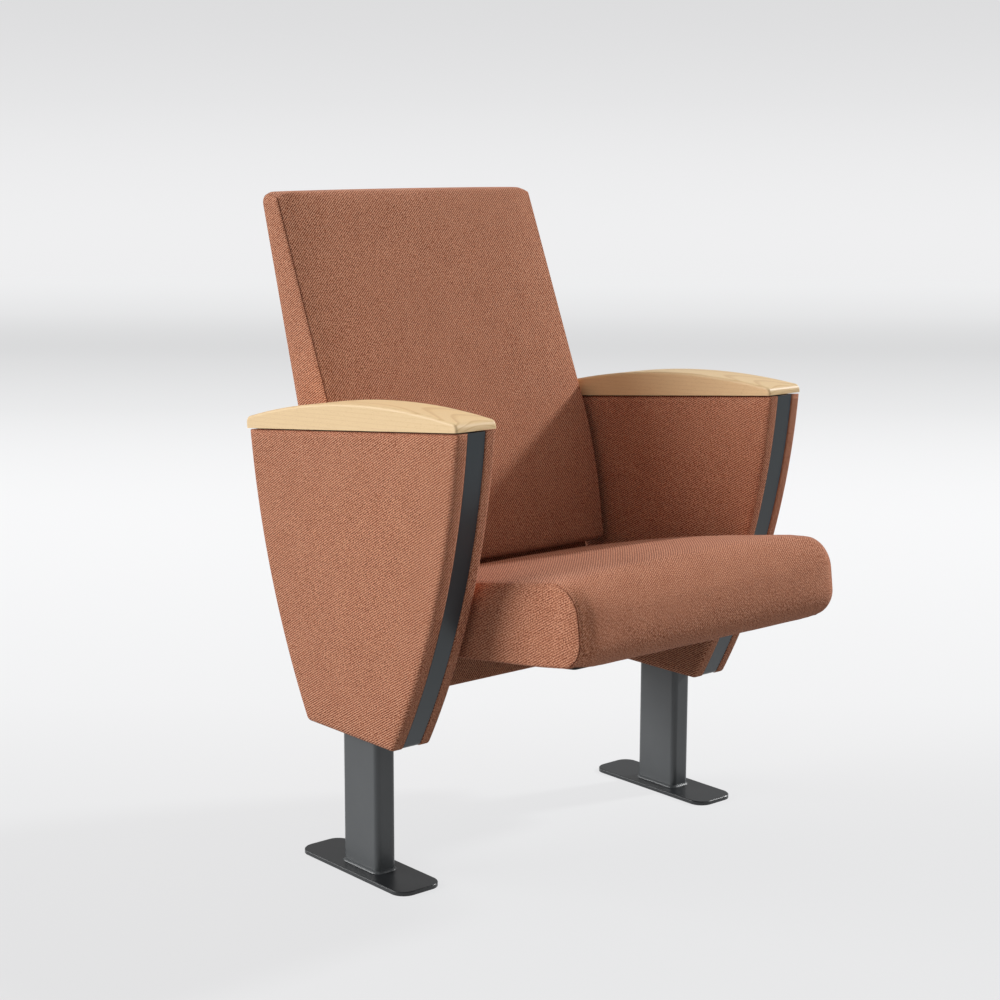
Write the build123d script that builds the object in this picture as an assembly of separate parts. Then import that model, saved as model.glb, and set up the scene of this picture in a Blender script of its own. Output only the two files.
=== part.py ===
"""Tip up auditorium seat with upholstered side panels and wooden arm caps. Millimetres.

X runs across the seat, the sitter faces -Y, and Z is up from the floor. The origin is on the floor,
under the middle of the whole seat. Left and right are the sitter's own, so left is +X. Side pieces are
built on the left and mirrored. Until they are written out, all pieces are placed from the line
through the centres of the two legs, which is y = 0 in every function below.
"""

from build123d import *
from math import acos, cos, degrees, pi, radians, sin, sqrt, tan
import os

# ---- driving dimensions -----------------------------------------------------------------------------
LEG_PITCH = 580.0  # between the centres of the two legs
LEG_SETBACK = 40.0  # the legs stand this far behind the middle of the overall depth
LEG_X = LEG_PITCH / 2
LEG_Y = -3.0  # the leg stands this far in front of the side panel's middle

PLATE_WIDTH = 74.0
PLATE_LENGTH = 240.0
PLATE_THICK = 6.0
PLATE_CORNER = 21.0

TUBE_WIDTH = 34.0
TUBE_DEPTH = 80.0
TUBE_WALL = 2.5
TUBE_CORNER = 8.0

# side panel: its front and rear edges are two big arcs that meet above and below it
FLANK_RADIUS = 1100.0
FLANK_OFFSET = 858.5  # each arc's centre lies this far beyond the leg's centre line
FLANK_LEVEL = 740.0
SIDE_BOTTOM = 198.0
SIDE_CORNER = 10.0
CORE_WIDTH = 30.4  # the dark strip between the two upholstered halves
PAD_THICK = 8.0
BOARD_THICK = 10.4
FABRIC_WRAP = 3.0  # the pad goes round its board's edge by this much
STRIP_THICK = 3.0
STRIP_RECESS = 1.0
STRIP_GAP = 0.8

# wooden arm cap, in its own frame along the sloping top of the side panel
CAP_WIDTH = 68.0
CAP_LENGTH = 476.0
CAP_SLOPE = 5.6
CAP_LEVEL = 623.5  # height of its underside over the legs
CAP_ARCH_RADIUS = 1263.2
CAP_ARCH_HEIGHT = 36.2
CAP_ARCH_OFFSET = 13.0  # the arch is highest this far behind the cap's middle
CAP_END_RADIUS = 9.5
CAP_EDGE_RADIUS = 4.0
CAP_SHADOW_GAP = 2.0
CAP_PILOT_DEPTH = 19.0
WOOD_SCREW_RADIUS = 2.4
BEARER_THICK = 5.0
BEARER_LENGTH = 430.0

# hinge: a pin across X near the rear of the seat
PIVOT_Y = 15.0
PIVOT_Z = 345.0
TIP_ANGLE = 75.0
PIN_RADIUS = 7.0
PIN_CLEARANCE = 0.05
BOSS_RADIUS = 17.0
STUD_RADIUS = 5.0
STUD_ORBIT = 30.0  # from the pin's axis to the stop stud
STUD_ANGLE = 150.0  # from +Y towards +Z
BUFFER_RADIUS = 7.0
STOP_CLEARANCE = 0.3
HUB_RADIUS = 15.0
BUSH_RADIUS = 9.0
SPRING_WIRE = 3.0
SPRING_RADIUS = 17.8  # to the middle of the wire
SPRING_TURNS = 3

# seat, in its own frame: origin on the pin's axis, pitched up at the front
SEAT_PITCH = 7.2
SEAT_HALF_WIDTH = 242.0
SEAT_REAR = 60.0
SEAT_NOSE = 406.0
SEAT_UNDERSIDE = -41.0
SEAT_NOSE_TOP = 72.0
SEAT_REAR_TOP = 44.0

# back, whose rear face is one straight line in side view
BACK_LEAN = 15.77
BACK_HALF_WIDTH = 242.0
BACK_TOP = 931.0
BACK_CUSHION_BOTTOM = 389.0
BACK_REAR_AT_600 = 220.4  # y of the rear face 600 above the floor
PANEL_BOTTOM = 200.0
BACK_MOUNT_LEVELS = (450.0, 562.0)
BACK_MOUNT_DEPTH = 36.0  # from the rear face to the bolts
SPACER_RADIUS = 10.0
SPACER_ROOM = 11.5  # over the corners of the eight-sided holes that the spacers pass through

NODES = {}


# ---- helpers ----------------------------------------------------------------------------------------
def slab(outline, x0, x1):
    """A (y, z) outline made solid from x0 to x1."""
    return extrude(Plane.YZ.offset(x0) * outline, amount=x1 - x0, dir=(1, 0, 0))


def rod(x0, x1, y, z, radius):
    """A round bar along X."""
    return slab(Pos(y, z) * Circle(radius), x0, x1)


def block(x0, x1, y0, y1, z0, z1):
    return Pos((x0 + x1) / 2, (y0 + y1) / 2, (z0 + z1) / 2) * Box(x1 - x0, y1 - y0, z1 - z0)


def rounded(points, radius):
    """A closed (y, z) face whose corners have the given radius or radii."""
    return make_face(FilletPolyline(points, radius=radius, close=True))


def group(solids):
    """Identical pieces that share one node, each its own solid."""
    return Compound([solid for piece in solids for solid in piece.solids()])


def shank(radius, length):
    """A screw's shank or its hole, upwards from z = 0, with eight flats in place of a round."""
    return extrude(RegularPolygon(radius, 8), amount=length)


def screw(radius, length, head_height):
    """A hexagon headed screw that points up, with its head below z = 0."""
    return shank(radius, length) + extrude(RegularPolygon(2.1 * radius, 6), amount=-head_height)


def on_both_sides(name, left_piece):
    NODES["left_" + name] = left_piece
    NODES["right_" + name] = mirror(left_piece, about=Plane.YZ)


def ridge(half_width, x):
    """1 in the middle of a cushion, falling along an ellipse to 0 at its side."""
    return sqrt(max(0.0, 1 - (x / half_width) ** 2))


def corner_inset(half_width, x, radius):
    """How far a rounded corner of this radius draws an edge in, at x."""
    into_corner = radius - (half_width - abs(x))
    if into_corner <= 0:
        return 0.0
    return radius - sqrt(max(0.0, radius**2 - into_corner**2))


def lofted_cushion(section, half_width):
    """A crowned cushion: side-view sections lofted across X, close together near the seams."""
    distances_from_side = (0.0, 2.0, 6.0, 12.0, 24.0, 48.0, 100.0)
    right_half = [distance - half_width for distance in distances_from_side]
    stations = right_half + [0.0] + [-x for x in reversed(right_half)]
    return loft([Plane.YZ.offset(x) * section(x) for x in stations], ruled=True)


# ---- side panels ------------------------------------------------------------------------------------
def side_outline(inset=0.0, top_gap=CAP_SHADOW_GAP, bottom_inset=None):
    """The side panel seen from the side: two big arcs, cut level below and sloping above."""
    bottom = SIDE_BOTTOM + (inset if bottom_inset is None else bottom_inset)
    radius = FLANK_RADIUS - inset
    arcs = Pos(-FLANK_OFFSET, FLANK_LEVEL) * Circle(radius) & Pos(FLANK_OFFSET, FLANK_LEVEL) * Circle(radius)
    reach = 300.0
    rise = reach * tan(radians(CAP_SLOPE))
    top = CAP_LEVEL - top_gap
    trim = Polygon((-reach, bottom), (reach, bottom), (reach, top - rise), (-reach, top + rise), align=None)
    outline = arcs & trim
    lower_corners = outline.vertices().sort_by(Axis.Y)[:2]
    return fillet(lower_corners, max(2.0, SIDE_CORNER - inset))


def leg_section(margin=0.0):
    corner = TUBE_CORNER + margin
    return RectangleRounded(TUBE_WIDTH + 2 * margin, TUBE_DEPTH + 2 * margin, corner)


def bearer_underside():
    """The sloping plane that cuts the leg off under its arm bearer."""
    level = CAP_LEVEL - BEARER_THICK / cos(radians(CAP_SLOPE))
    return Plane(origin=(0, 0, level), z_dir=(0, sin(radians(CAP_SLOPE)), cos(radians(CAP_SLOPE))))


def floor_plate():
    plate = extrude(RectangleRounded(PLATE_WIDTH, PLATE_LENGTH, PLATE_CORNER), amount=PLATE_THICK)
    top_edges = plate.faces().sort_by(Axis.Z)[-1].edges()
    return Pos(LEG_X, LEG_Y, 0) * chamfer(top_edges, 1.0)


def leg_tube():
    outside = extrude(leg_section(), amount=CAP_LEVEL)
    tube = outside - extrude(leg_section(-TUBE_WALL), amount=CAP_LEVEL)
    tube = Pos(LEG_X, LEG_Y, 0) * (tube - Box(100, 100, 2 * PLATE_THICK))
    tube = split(tube, bisect_by=bearer_underside(), keep=Keep.BOTTOM)
    inner_wall = LEG_X - TUBE_WIDTH / 2
    return tube - rod(inner_wall - 1, inner_wall + 2 * TUBE_WALL, PIVOT_Y, PIVOT_Z, PIN_RADIUS)


def leg_face(side):
    """y of the leg's front (side -1) or rear (side 1) face."""
    return LEG_Y + side * TUBE_DEPTH / 2


def edge_strip(front):
    """A bent flat band: down the panel's edge, round its lower corner and back to the leg."""
    x0 = LEG_X - CORE_WIDTH / 2 + STRIP_GAP
    x1 = LEG_X + CORE_WIDTH / 2 - STRIP_GAP
    inside = side_outline(STRIP_RECESS + STRIP_THICK, top_gap=-20.0)
    band = side_outline(STRIP_RECESS) - inside
    side = -1 if front else 1
    beside_leg = Pos(leg_face(side) + side * 250, 400) * Rectangle(500, 800)
    return slab(band & beside_leg, x0, x1)


def flank_depth(z, inset):
    """Half the panel's depth at height z."""
    return sqrt((FLANK_RADIUS - inset) ** 2 - (z - FLANK_LEVEL) ** 2) - FLANK_OFFSET


def stay_bars():
    """Two flat bars that hold the strips off the leg."""
    level = 330.0
    thick = 5.0
    reach = flank_depth(level - thick / 2, STRIP_RECESS + STRIP_THICK) - 0.2
    bars = []
    for side in (-1, 1):
        near, far = leg_face(side), side * reach
        bar = Box(CORE_WIDTH - 4, abs(far - near), thick)
        bars.append(Pos(LEG_X, (near + far) / 2, level) * bar)
    return group(bars)


def arm_bearer():
    """The sloping flat bar on top of the leg that the wooden cap is screwed to."""
    bar = Box(CORE_WIDTH, BEARER_LENGTH, BEARER_THICK)
    for y in cap_screw_places():
        bar -= Pos(0, y, -BEARER_THICK) * shank(WOOD_SCREW_RADIUS + 0.2, 2 * BEARER_THICK)
    return in_cap_frame(Pos(0, 0, -BEARER_THICK / 2) * bar)


def cap_screw_places():
    return (-140.0, 15.0, 165.0)


def in_cap_frame(piece):
    return Pos(LEG_X, 0, CAP_LEVEL) * Rot(-CAP_SLOPE, 0, 0) * piece


def cap_screws():
    """Three wood screws, driven up through the bearer."""
    wood_screw = screw(WOOD_SCREW_RADIUS, BEARER_THICK + CAP_PILOT_DEPTH, 2.6)
    return group([in_cap_frame(Pos(0, y, -BEARER_THICK) * wood_screw) for y in cap_screw_places()])


def arm_cap():
    """Solid wood, arched along its length, with a flat underside and softened edges."""
    arch = Pos(CAP_ARCH_OFFSET, CAP_ARCH_HEIGHT - CAP_ARCH_RADIUS) * Circle(CAP_ARCH_RADIUS)
    profile = arch & Pos(0, 50) * Rectangle(CAP_LENGTH, 100)
    ends = profile.vertices().filter_by(lambda v: v.Y > 1)
    profile = fillet(ends, CAP_END_RADIUS)
    cap = slab(profile, -CAP_WIDTH / 2, CAP_WIDTH / 2)
    side_edges = [
        edge
        for face in (cap.faces().sort_by(Axis.X)[0], cap.faces().sort_by(Axis.X)[-1])
        for edge in face.edges()
        if edge.center().Z > 0.5
    ]
    cap = fillet(side_edges, CAP_EDGE_RADIUS)
    cap -= [Pos(0, y, 0) * shank(WOOD_SCREW_RADIUS, CAP_PILOT_DEPTH) for y in cap_screw_places()]
    return in_cap_frame(cap)


def hinge_window(margin):
    """The bracket's outline on the leg's inner face, grown by a margin."""
    width, height = BRACKET_WIDTH + 2 * margin, BRACKET_HEIGHT + 2 * margin
    return Pos(0, BRACKET_LEVEL) * RectangleRounded(width, height, BRACKET_CORNER + margin)


def back_mounts():
    """Where the two bolts cross from each side into the back, as (y, z)."""
    return [(back_line(z) - BACK_MOUNT_DEPTH / cos(radians(BACK_LEAN)), z) for z in BACK_MOUNT_LEVELS]


def stud_place():
    angle = radians(STUD_ANGLE)
    return PIVOT_Y + STUD_ORBIT * cos(angle), PIVOT_Z + STUD_ORBIT * sin(angle)


def panel_half(inner):
    """One upholstered half of a side panel: a grooved board, and the pad wrapped round it."""
    side = -1 if inner else 1
    core_face = LEG_X + side * CORE_WIDTH / 2
    board_face = core_face + side * BOARD_THICK
    pad_face = board_face + side * PAD_THICK
    board = slab(side_outline(FABRIC_WRAP, top_gap=CAP_SHADOW_GAP + FABRIC_WRAP), core_face, board_face)
    pad = slab(side_outline(), core_face, pad_face)
    outer_rim = pad.faces().sort_by(Axis.X)[0 if inner else -1].edges()
    pad = fillet(outer_rim, 5.0)
    pad -= slab(side_outline(FABRIC_WRAP, top_gap=CAP_SHADOW_GAP + FABRIC_WRAP), core_face, board_face)
    groove = Pos(LEG_X, LEG_Y, 0) * extrude(leg_section(0.3), amount=CAP_LEVEL + 30)
    board -= groove
    pad -= groove
    if inner:
        board -= slab(hinge_window(1.0), core_face, board_face)
        pad -= rod(pad_face, board_face, PIVOT_Y, PIVOT_Z, BOSS_RADIUS + 1)
        pad -= rod(pad_face, board_face, *stud_place(), STUD_RADIUS + 2)
        for y, z in back_mounts():
            spacer_room = slab(Pos(y, z) * RegularPolygon(SPACER_ROOM, 8), pad_face, core_face)
            board -= spacer_room
            pad -= spacer_room
    return board, pad


def build_sides():
    on_both_sides("floor_plate", floor_plate())
    on_both_sides("leg_tube", leg_tube())
    on_both_sides("front_strip", edge_strip(front=True))
    on_both_sides("rear_strip", edge_strip(front=False))
    on_both_sides("stay_bars", stay_bars())
    on_both_sides("arm_bearer", arm_bearer())
    on_both_sides("arm_cap", arm_cap())
    on_both_sides("arm_cap_screws", cap_screws())
    for half in ("inner", "outer"):
        board, pad = panel_half(half == "inner")
        on_both_sides(half + "_board", board)
        on_both_sides(half + "_pad", pad)


# ---- hinge ------------------------------------------------------------------------------------------
BRACKET_BACK = LEG_X - TUBE_WIDTH / 2
BRACKET_FACE = BRACKET_BACK - 4.0
BRACKET_WIDTH = 62.0
BRACKET_HEIGHT = 76.0
BRACKET_CORNER = 8.0
BRACKET_LEVEL = 354.0
BOSS_FACE = 256.0
ARM_OUTSIDE = 233.0
ARM_INSIDE = 228.0
HUB_FACE = 253.5
PIN_INNER_END = 222.0
STUD_INNER_END = 224.0
RING_GROOVE = (225.4, 227.1)
RING_THICK = 1.3
GROOVE_RADIUS = 6.0
BRACKET_SCREWS = ((-20.0, 330.0), (12.0, 381.0))
BRACKET_SCREW_RADIUS = 2.9


def hinge_bracket():
    """A cast bracket on the leg's inner face, with the pin's boss and the stop stud."""
    plate = slab(hinge_window(0.0), BRACKET_FACE, BRACKET_BACK)
    boss = rod(BOSS_FACE, BRACKET_FACE, PIVOT_Y, PIVOT_Z, BOSS_RADIUS)
    boss = chamfer(boss.faces().sort_by(Axis.X)[0].edges(), 1.0)
    bracket = plate + boss + rod(STUD_INNER_END, BRACKET_FACE, *stud_place(), STUD_RADIUS)
    bracket -= rod(BOSS_FACE - 1, BRACKET_BACK + 1, PIVOT_Y, PIVOT_Z, PIN_RADIUS)
    for y, z in BRACKET_SCREWS:
        bracket -= slab(Pos(y, z) * RegularPolygon(BRACKET_SCREW_RADIUS + 0.1, 8), BRACKET_FACE, BRACKET_BACK)
    return bracket


def bracket_screws():
    """Two thin headed screws into the leg."""
    screws = []
    for y, z in BRACKET_SCREWS:
        head = slab(Pos(y, z) * RegularPolygon(5.0, 6), BRACKET_FACE - 1.0, BRACKET_FACE)
        body = slab(Pos(y, z) * RegularPolygon(BRACKET_SCREW_RADIUS, 8), BRACKET_FACE, BRACKET_BACK)
        screws.append(head + body)
    return group(screws)


def pivot_pin():
    pin = rod(PIN_INNER_END, BRACKET_BACK + TUBE_WALL + 6, PIVOT_Y, PIVOT_Z, PIN_RADIUS)
    pin = chamfer(pin.faces().sort_by(Axis.X)[0].edges(), 1.0)
    groove = rod(*RING_GROOVE, PIVOT_Y, PIVOT_Z, PIN_RADIUS + 1) - rod(*RING_GROOVE, PIVOT_Y, PIVOT_Z, GROOVE_RADIUS)
    return pin - groove


def retaining_ring():
    """The open ring that snaps into the pin's groove."""
    ring = Circle(10.5) - Circle(GROOVE_RADIUS + 0.05) - Pos(0, -10) * Rectangle(7, 12)
    x0 = RING_GROOVE[0] + 0.2
    return slab(Pos(PIVOT_Y, PIVOT_Z) * ring, x0, x0 + RING_THICK)


def stop_buffer():
    """The rubber sleeve on the stop stud."""
    y, z = stud_place()
    return rod(STUD_INNER_END + 2, 236.0, y, z, BUFFER_RADIUS) - rod(STUD_INNER_END, 237.0, y, z, STUD_RADIUS)


def in_seat_frame(piece):
    return Pos(0, PIVOT_Y, PIVOT_Z) * Rot(-SEAT_PITCH, 0, 0) * piece


def stop_slot():
    """The curved slot that lets the arm turn round the stop buffer, from down to tipped up."""
    start = radians(STUD_ANGLE + SEAT_PITCH)
    sweep = radians(TIP_ANGLE)
    half_width = BUFFER_RADIUS + STOP_CLEARANCE
    path = [
        (STUD_ORBIT * cos(start + sweep * share), STUD_ORBIT * sin(start + sweep * share)) for share in (0, 0.5, 1)
    ]
    inner, outer = STUD_ORBIT - half_width, STUD_ORBIT + half_width
    scale = [[(y * r / STUD_ORBIT, z * r / STUD_ORBIT) for y, z in path] for r in (inner, outer)]
    edges = ThreePointArc(*scale[1]) + ThreePointArc(*scale[0])
    edges += Line(scale[0][0], scale[1][0]) + Line(scale[0][2], scale[1][2])
    return make_face(edges) + Pos(*path[0]) * Circle(half_width) + Pos(*path[2]) * Circle(half_width)


PEG_RADIUS = 2.5
SPRING_PEG = (14.0, -SPRING_RADIUS - SPRING_WIRE / 2 - PEG_RADIUS)


def seat_arm():
    """A pressed steel arm: hub, slotted head, and a tapering bar forward under the seat board."""
    head = (Circle(30.0) + Pos(-20, -1) * Circle(32.5)) & Rectangle(200, 68)
    bar = rounded([(0, -8), (0, -33), (-330, -33), (-330, -18), (-310, -8)], 4.0)
    web = rounded([(-44, 18), (-20, -34), (-110, -33), (-110, -8), (-62, -8)], 3.0)
    plate = slab(head + bar + web - stop_slot(), ARM_INSIDE, ARM_OUTSIDE)
    arm = plate + rod(ARM_INSIDE, HUB_FACE, 0, 0, HUB_RADIUS)
    arm -= rod(ARM_INSIDE, HUB_FACE, 0, 0, BUSH_RADIUS)
    arm += rod(ARM_OUTSIDE, ARM_OUTSIDE + 7, *SPRING_PEG, PEG_RADIUS)
    return in_seat_frame(arm)


def hinge_bush():
    """A flanged nylon bush that turns on the pin."""
    bush = rod(ARM_INSIDE, HUB_FACE, 0, 0, BUSH_RADIUS) + rod(HUB_FACE, HUB_FACE + 1.5, 0, 0, 14.5)
    return in_seat_frame(bush - rod(ARM_INSIDE, HUB_FACE + 1.5, 0, 0, PIN_RADIUS + PIN_CLEARANCE))


def coil_point(turned, pitch):
    """A point on the spring's coil and its direction there, after this many degrees of winding."""
    angle = radians(270.0 - turned)
    point = Vector(SPRING_START + pitch * turned / 360, SPRING_RADIUS * cos(angle), SPRING_RADIUS * sin(angle))
    rise = pitch / (2 * pi * SPRING_RADIUS)
    return point, Vector(rise, sin(angle), -cos(angle)).normalized()


def biarc(start, start_way, end, end_way):
    """Two arcs that leave the start and reach the end in the given directions."""
    chord = end - start
    ways = start_way + end_way
    a = ways.dot(ways) - 4.0
    b = -2.0 * chord.dot(ways)
    reach = (-b - sqrt(b * b - 4 * a * chord.dot(chord))) / (2 * a)
    middle = (start + start_way * reach + end - end_way * reach) * 0.5
    middle_way = (end - end_way * reach) - (start + start_way * reach)
    return TangentArc(start, middle, tangent=start_way) + TangentArc(middle, end, tangent=middle_way)


def print_least_gap(centres, neighbours):
    """The least clear distance between stretches of wire that aren't neighbours."""
    least = min(
        (centres[i] - centres[j]).length for i in range(len(centres)) for j in range(i + neighbours, len(centres))
    )
    print("return spring: least gap between turns", round(least - SPRING_WIRE, 2), "mm")


SPRING_START = ARM_OUTSIDE + 3.0
SPRING_END = HUB_FACE - 4.0
INNER_LEG = 19.0
OUTER_LEG = 23.0


def return_spring():
    """A torsion spring on the hub. One leg bears on the arm's peg and the other on the stop stud."""
    to_stud = SPRING_RADIUS + SPRING_WIRE / 2 + STUD_RADIUS + STOP_CLEARANCE
    leaves_coil = STUD_ANGLE + SEAT_PITCH + degrees(acos(to_stud / STUD_ORBIT))
    wound = 360.0 * SPRING_TURNS + 270.0 - leaves_coil
    pitch = (SPRING_END - SPRING_START) * 360.0 / wound
    steps = round(wound / 90.0)
    coil = [coil_point(wound * step / steps, pitch) for step in range(steps + 1)]
    first, first_way = coil[0]
    last, last_way = coil[-1]
    path = Line(first - first_way * INNER_LEG, first)
    for (start, start_way), (end, end_way) in zip(coil, coil[1:]):
        path += biarc(start, start_way, end, end_way)
    path += Line(last, last + last_way * OUTER_LEG)
    centres = [coil_point(wound * step / 400, pitch)[0] for step in range(401)]
    print_least_gap(centres, round(400 * 300 / wound))
    end_face = Plane(origin=path @ 0, z_dir=first_way) * RegularPolygon(SPRING_WIRE / 2, 6)
    return in_seat_frame(sweep(end_face, path=path))


def build_hinges():
    on_both_sides("hinge_bracket", hinge_bracket())
    on_both_sides("hinge_bracket_screws", bracket_screws())
    on_both_sides("pivot_pin", pivot_pin())
    on_both_sides("retaining_ring", retaining_ring())
    on_both_sides("stop_buffer", stop_buffer())
    on_both_sides("seat_arm", seat_arm())
    on_both_sides("hinge_bush", hinge_bush())
    on_both_sides("return_spring", return_spring())


# ---- seat -------------------------------------------------------------------------------------------
BOARD_TOP = 4.0
BOARD_UNDERSIDE = -8.0
CROSS_TUBES = (-75.0, -270.0)
CROSS_TUBE_RADIUS = 11.0
CROSS_TUBE_LEVEL = BOARD_UNDERSIDE - CROSS_TUBE_RADIUS
SEAT_RECESS = (-375.0, 50.0)  # front and rear of the hollow under the cushion
SEAT_INNER_HALF = 234.0
SEAT_SCREW_X = 150.0
SEAT_PILOT_DEPTH = 9.0
HINGE_NOTCH_RADIUS = 37.0


def seat_section(x):
    """The seat in side view: a wedge with a full rounded nose, crowned towards the middle."""
    crown = ridge(SEAT_HALF_WIDTH, x)
    inset = corner_inset(SEAT_HALF_WIDTH, x, 26.0)
    nose = -SEAT_NOSE - 3.0 * crown + inset
    points = [
        (SEAT_REAR, SEAT_UNDERSIDE),
        (SEAT_REAR, SEAT_REAR_TOP + 3.0 * crown),
        (-180.0, 65.0 + 9.0 * crown),
        (nose, SEAT_NOSE_TOP + 6.0 * crown),
        (nose, SEAT_UNDERSIDE),
    ]
    return rounded(points, [6.0, 18.0, 1400.0, 46.0, 38.0])


def seat_cushion():
    """Foam and fabric over the seat board, hollow below, notched at the sides for the hinges."""
    cushion = lofted_cushion(seat_section, SEAT_HALF_WIDTH)
    front, rear = SEAT_RECESS
    cushion -= block(-SEAT_INNER_HALF, SEAT_INNER_HALF, front, rear, SEAT_UNDERSIDE - 20, BOARD_TOP)
    notch = Circle(HINGE_NOTCH_RADIUS) + Pos(0, -50) * Rectangle(2 * HINGE_NOTCH_RADIUS, 100)
    for side in (-1, 1):
        arm_space = sorted((side * (ARM_INSIDE - 9), side * SEAT_INNER_HALF))
        cushion -= block(*arm_space, -58, rear, SEAT_UNDERSIDE - 20, 38)
        cushion -= slab(notch, *sorted((side * SEAT_INNER_HALF, side * (SEAT_HALF_WIDTH + 5))))
    return in_seat_frame(cushion)


def seat_screw_places():
    return [(x, y) for y in CROSS_TUBES for x in (-SEAT_SCREW_X, SEAT_SCREW_X)]


def seat_board():
    """Plywood, narrower at the rear to clear the hinges."""
    front, rear = SEAT_RECESS
    half = ARM_INSIDE - 12
    board = block(-SEAT_INNER_HALF, SEAT_INNER_HALF, front, -68, BOARD_UNDERSIDE, BOARD_TOP)
    board += block(-half, half, -68, rear, BOARD_UNDERSIDE, BOARD_TOP)
    for x, y in seat_screw_places():
        board -= Pos(x, y, BOARD_UNDERSIDE) * shank(WOOD_SCREW_RADIUS, SEAT_PILOT_DEPTH)
    return in_seat_frame(board)


def underside_cover():
    """The upholstered board that closes the seat from below."""
    return in_seat_frame(block(-SEAT_INNER_HALF, SEAT_INNER_HALF, *SEAT_RECESS, SEAT_UNDERSIDE, SEAT_UNDERSIDE + 6))


def cross_tube(y):
    """A round tube welded between the two seat arms, drilled for the seat screws."""
    tube = rod(-ARM_INSIDE, ARM_INSIDE, y, CROSS_TUBE_LEVEL, CROSS_TUBE_RADIUS)
    tube -= rod(-ARM_INSIDE, ARM_INSIDE, y, CROSS_TUBE_LEVEL, CROSS_TUBE_RADIUS - 2.0)
    for x in (-SEAT_SCREW_X, SEAT_SCREW_X):
        underside = CROSS_TUBE_LEVEL - CROSS_TUBE_RADIUS
        tube -= Pos(x, y, underside - 1) * shank(WOOD_SCREW_RADIUS + 0.3, 2 * CROSS_TUBE_RADIUS + 2)
    return in_seat_frame(tube)


def seat_screws():
    """Four screws, up through the cross tubes into the board."""
    underside = CROSS_TUBE_LEVEL - CROSS_TUBE_RADIUS
    long_screw = screw(WOOD_SCREW_RADIUS, 2 * CROSS_TUBE_RADIUS + SEAT_PILOT_DEPTH - 1, 2.5)
    return group([in_seat_frame(Pos(x, y, underside) * long_screw) for x, y in seat_screw_places()])


def build_seat():
    NODES["seat_cushion"] = seat_cushion()
    NODES["seat_board"] = seat_board()
    NODES["seat_underside_cover"] = underside_cover()
    NODES["seat_rear_cross_tube"] = cross_tube(CROSS_TUBES[0])
    NODES["seat_front_cross_tube"] = cross_tube(CROSS_TUBES[1])
    NODES["seat_screws"] = seat_screws()


# ---- back -------------------------------------------------------------------------------------------
def back_line(z):
    """y of the back's straight rear face at height z."""
    return BACK_REAR_AT_600 + (z - 600.0) * tan(radians(BACK_LEAN))


def along_back(z, depth):
    """The (y, z) point that lies depth in front of the rear face, square to it."""
    return back_line(z) - depth * cos(radians(BACK_LEAN)), z + depth * sin(radians(BACK_LEAN))


def back_layer(bottom, top, front_depth, rear_depth):
    """A (y, z) strip parallel to the rear face, with square ends."""
    corners = [(bottom, front_depth), (bottom, rear_depth), (top, rear_depth), (top, front_depth)]
    return Polygon(*[along_back(z, depth) for z, depth in corners], align=None)


BOARD_FRONT = 17.0
BOARD_REAR = 5.0
BACK_INNER_HALF = 234.0


def back_section(x):
    """The back cushion in side view: thick at the sitter's waist, thin at the top."""
    crown = ridge(BACK_HALF_WIDTH, x)
    drop = corner_inset(BACK_HALF_WIDTH, x, 16.0)
    top = BACK_TOP + 2.0 * crown - drop
    front = 7.0 * crown
    points = [
        (83.5 - front, BACK_CUSHION_BOTTOM),
        (107.0 - front, 537.5),
        (107.0 - front + 0.4165 * (top - 537.5), top),
        (back_line(top), top),
        (back_line(BACK_CUSHION_BOTTOM), BACK_CUSHION_BOTTOM),
    ]
    return rounded(points, [9.0, 700.0, 11.0, 26.0, 4.0])


def back_cushion():
    """Foam and fabric on the board's front, sides and top."""
    cushion = lofted_cushion(back_section, BACK_HALF_WIDTH)
    recess = back_layer(BACK_CUSHION_BOTTOM - 40, BACK_TOP - 16, BOARD_FRONT, -10.0)
    cushion -= slab(recess, -BACK_INNER_HALF - 0.5, BACK_INNER_HALF + 0.5)
    pocket = back_layer(BACK_MOUNT_LEVELS[0] - 42, BACK_MOUNT_LEVELS[1] + 42, 58.0, BOARD_FRONT - 1)
    for side in (-1, 1):
        x0, x1 = sorted((side * 200.0, side * BACK_INNER_HALF))
        cushion -= slab(pocket, x0, x1)
        for y, z in back_mounts():
            cushion -= slab(Pos(y, z) * RegularPolygon(SPACER_ROOM, 8), *sorted((side * 230, side * 250)))
    return cushion


def back_board():
    board = slab(back_layer(PANEL_BOTTOM + 4, BACK_TOP - 20, BOARD_FRONT, BOARD_REAR), -232.0, 232.0)
    return board


def rear_panel():
    """A thin upholstered board that covers the back from top to bottom."""
    panel = slab(back_layer(PANEL_BOTTOM + 3, BACK_TOP - 19, BOARD_REAR, -4.0), -233.0, 233.0)
    rear_face = panel.faces().sort_by(Axis.Y)[-1]
    return fillet(rear_face.edges(), 4.0)


def lower_back_pad():
    """The upholstered front of the board, below the back cushion and behind the seat."""
    top = BACK_CUSHION_BOTTOM - 14.0
    pad = slab(back_layer(PANEL_BOTTOM, top, BOARD_FRONT + 6.0, 0.0), -240.0, 240.0)
    front_face = pad.faces().sort_by(Axis.Y)[0]
    pad = fillet(front_face.edges(), 3.0)
    recess = back_layer(PANEL_BOTTOM - 20, top + 20, BOARD_FRONT, -5.0)
    return pad - slab(recess, -BACK_INNER_HALF, BACK_INNER_HALF)


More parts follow.
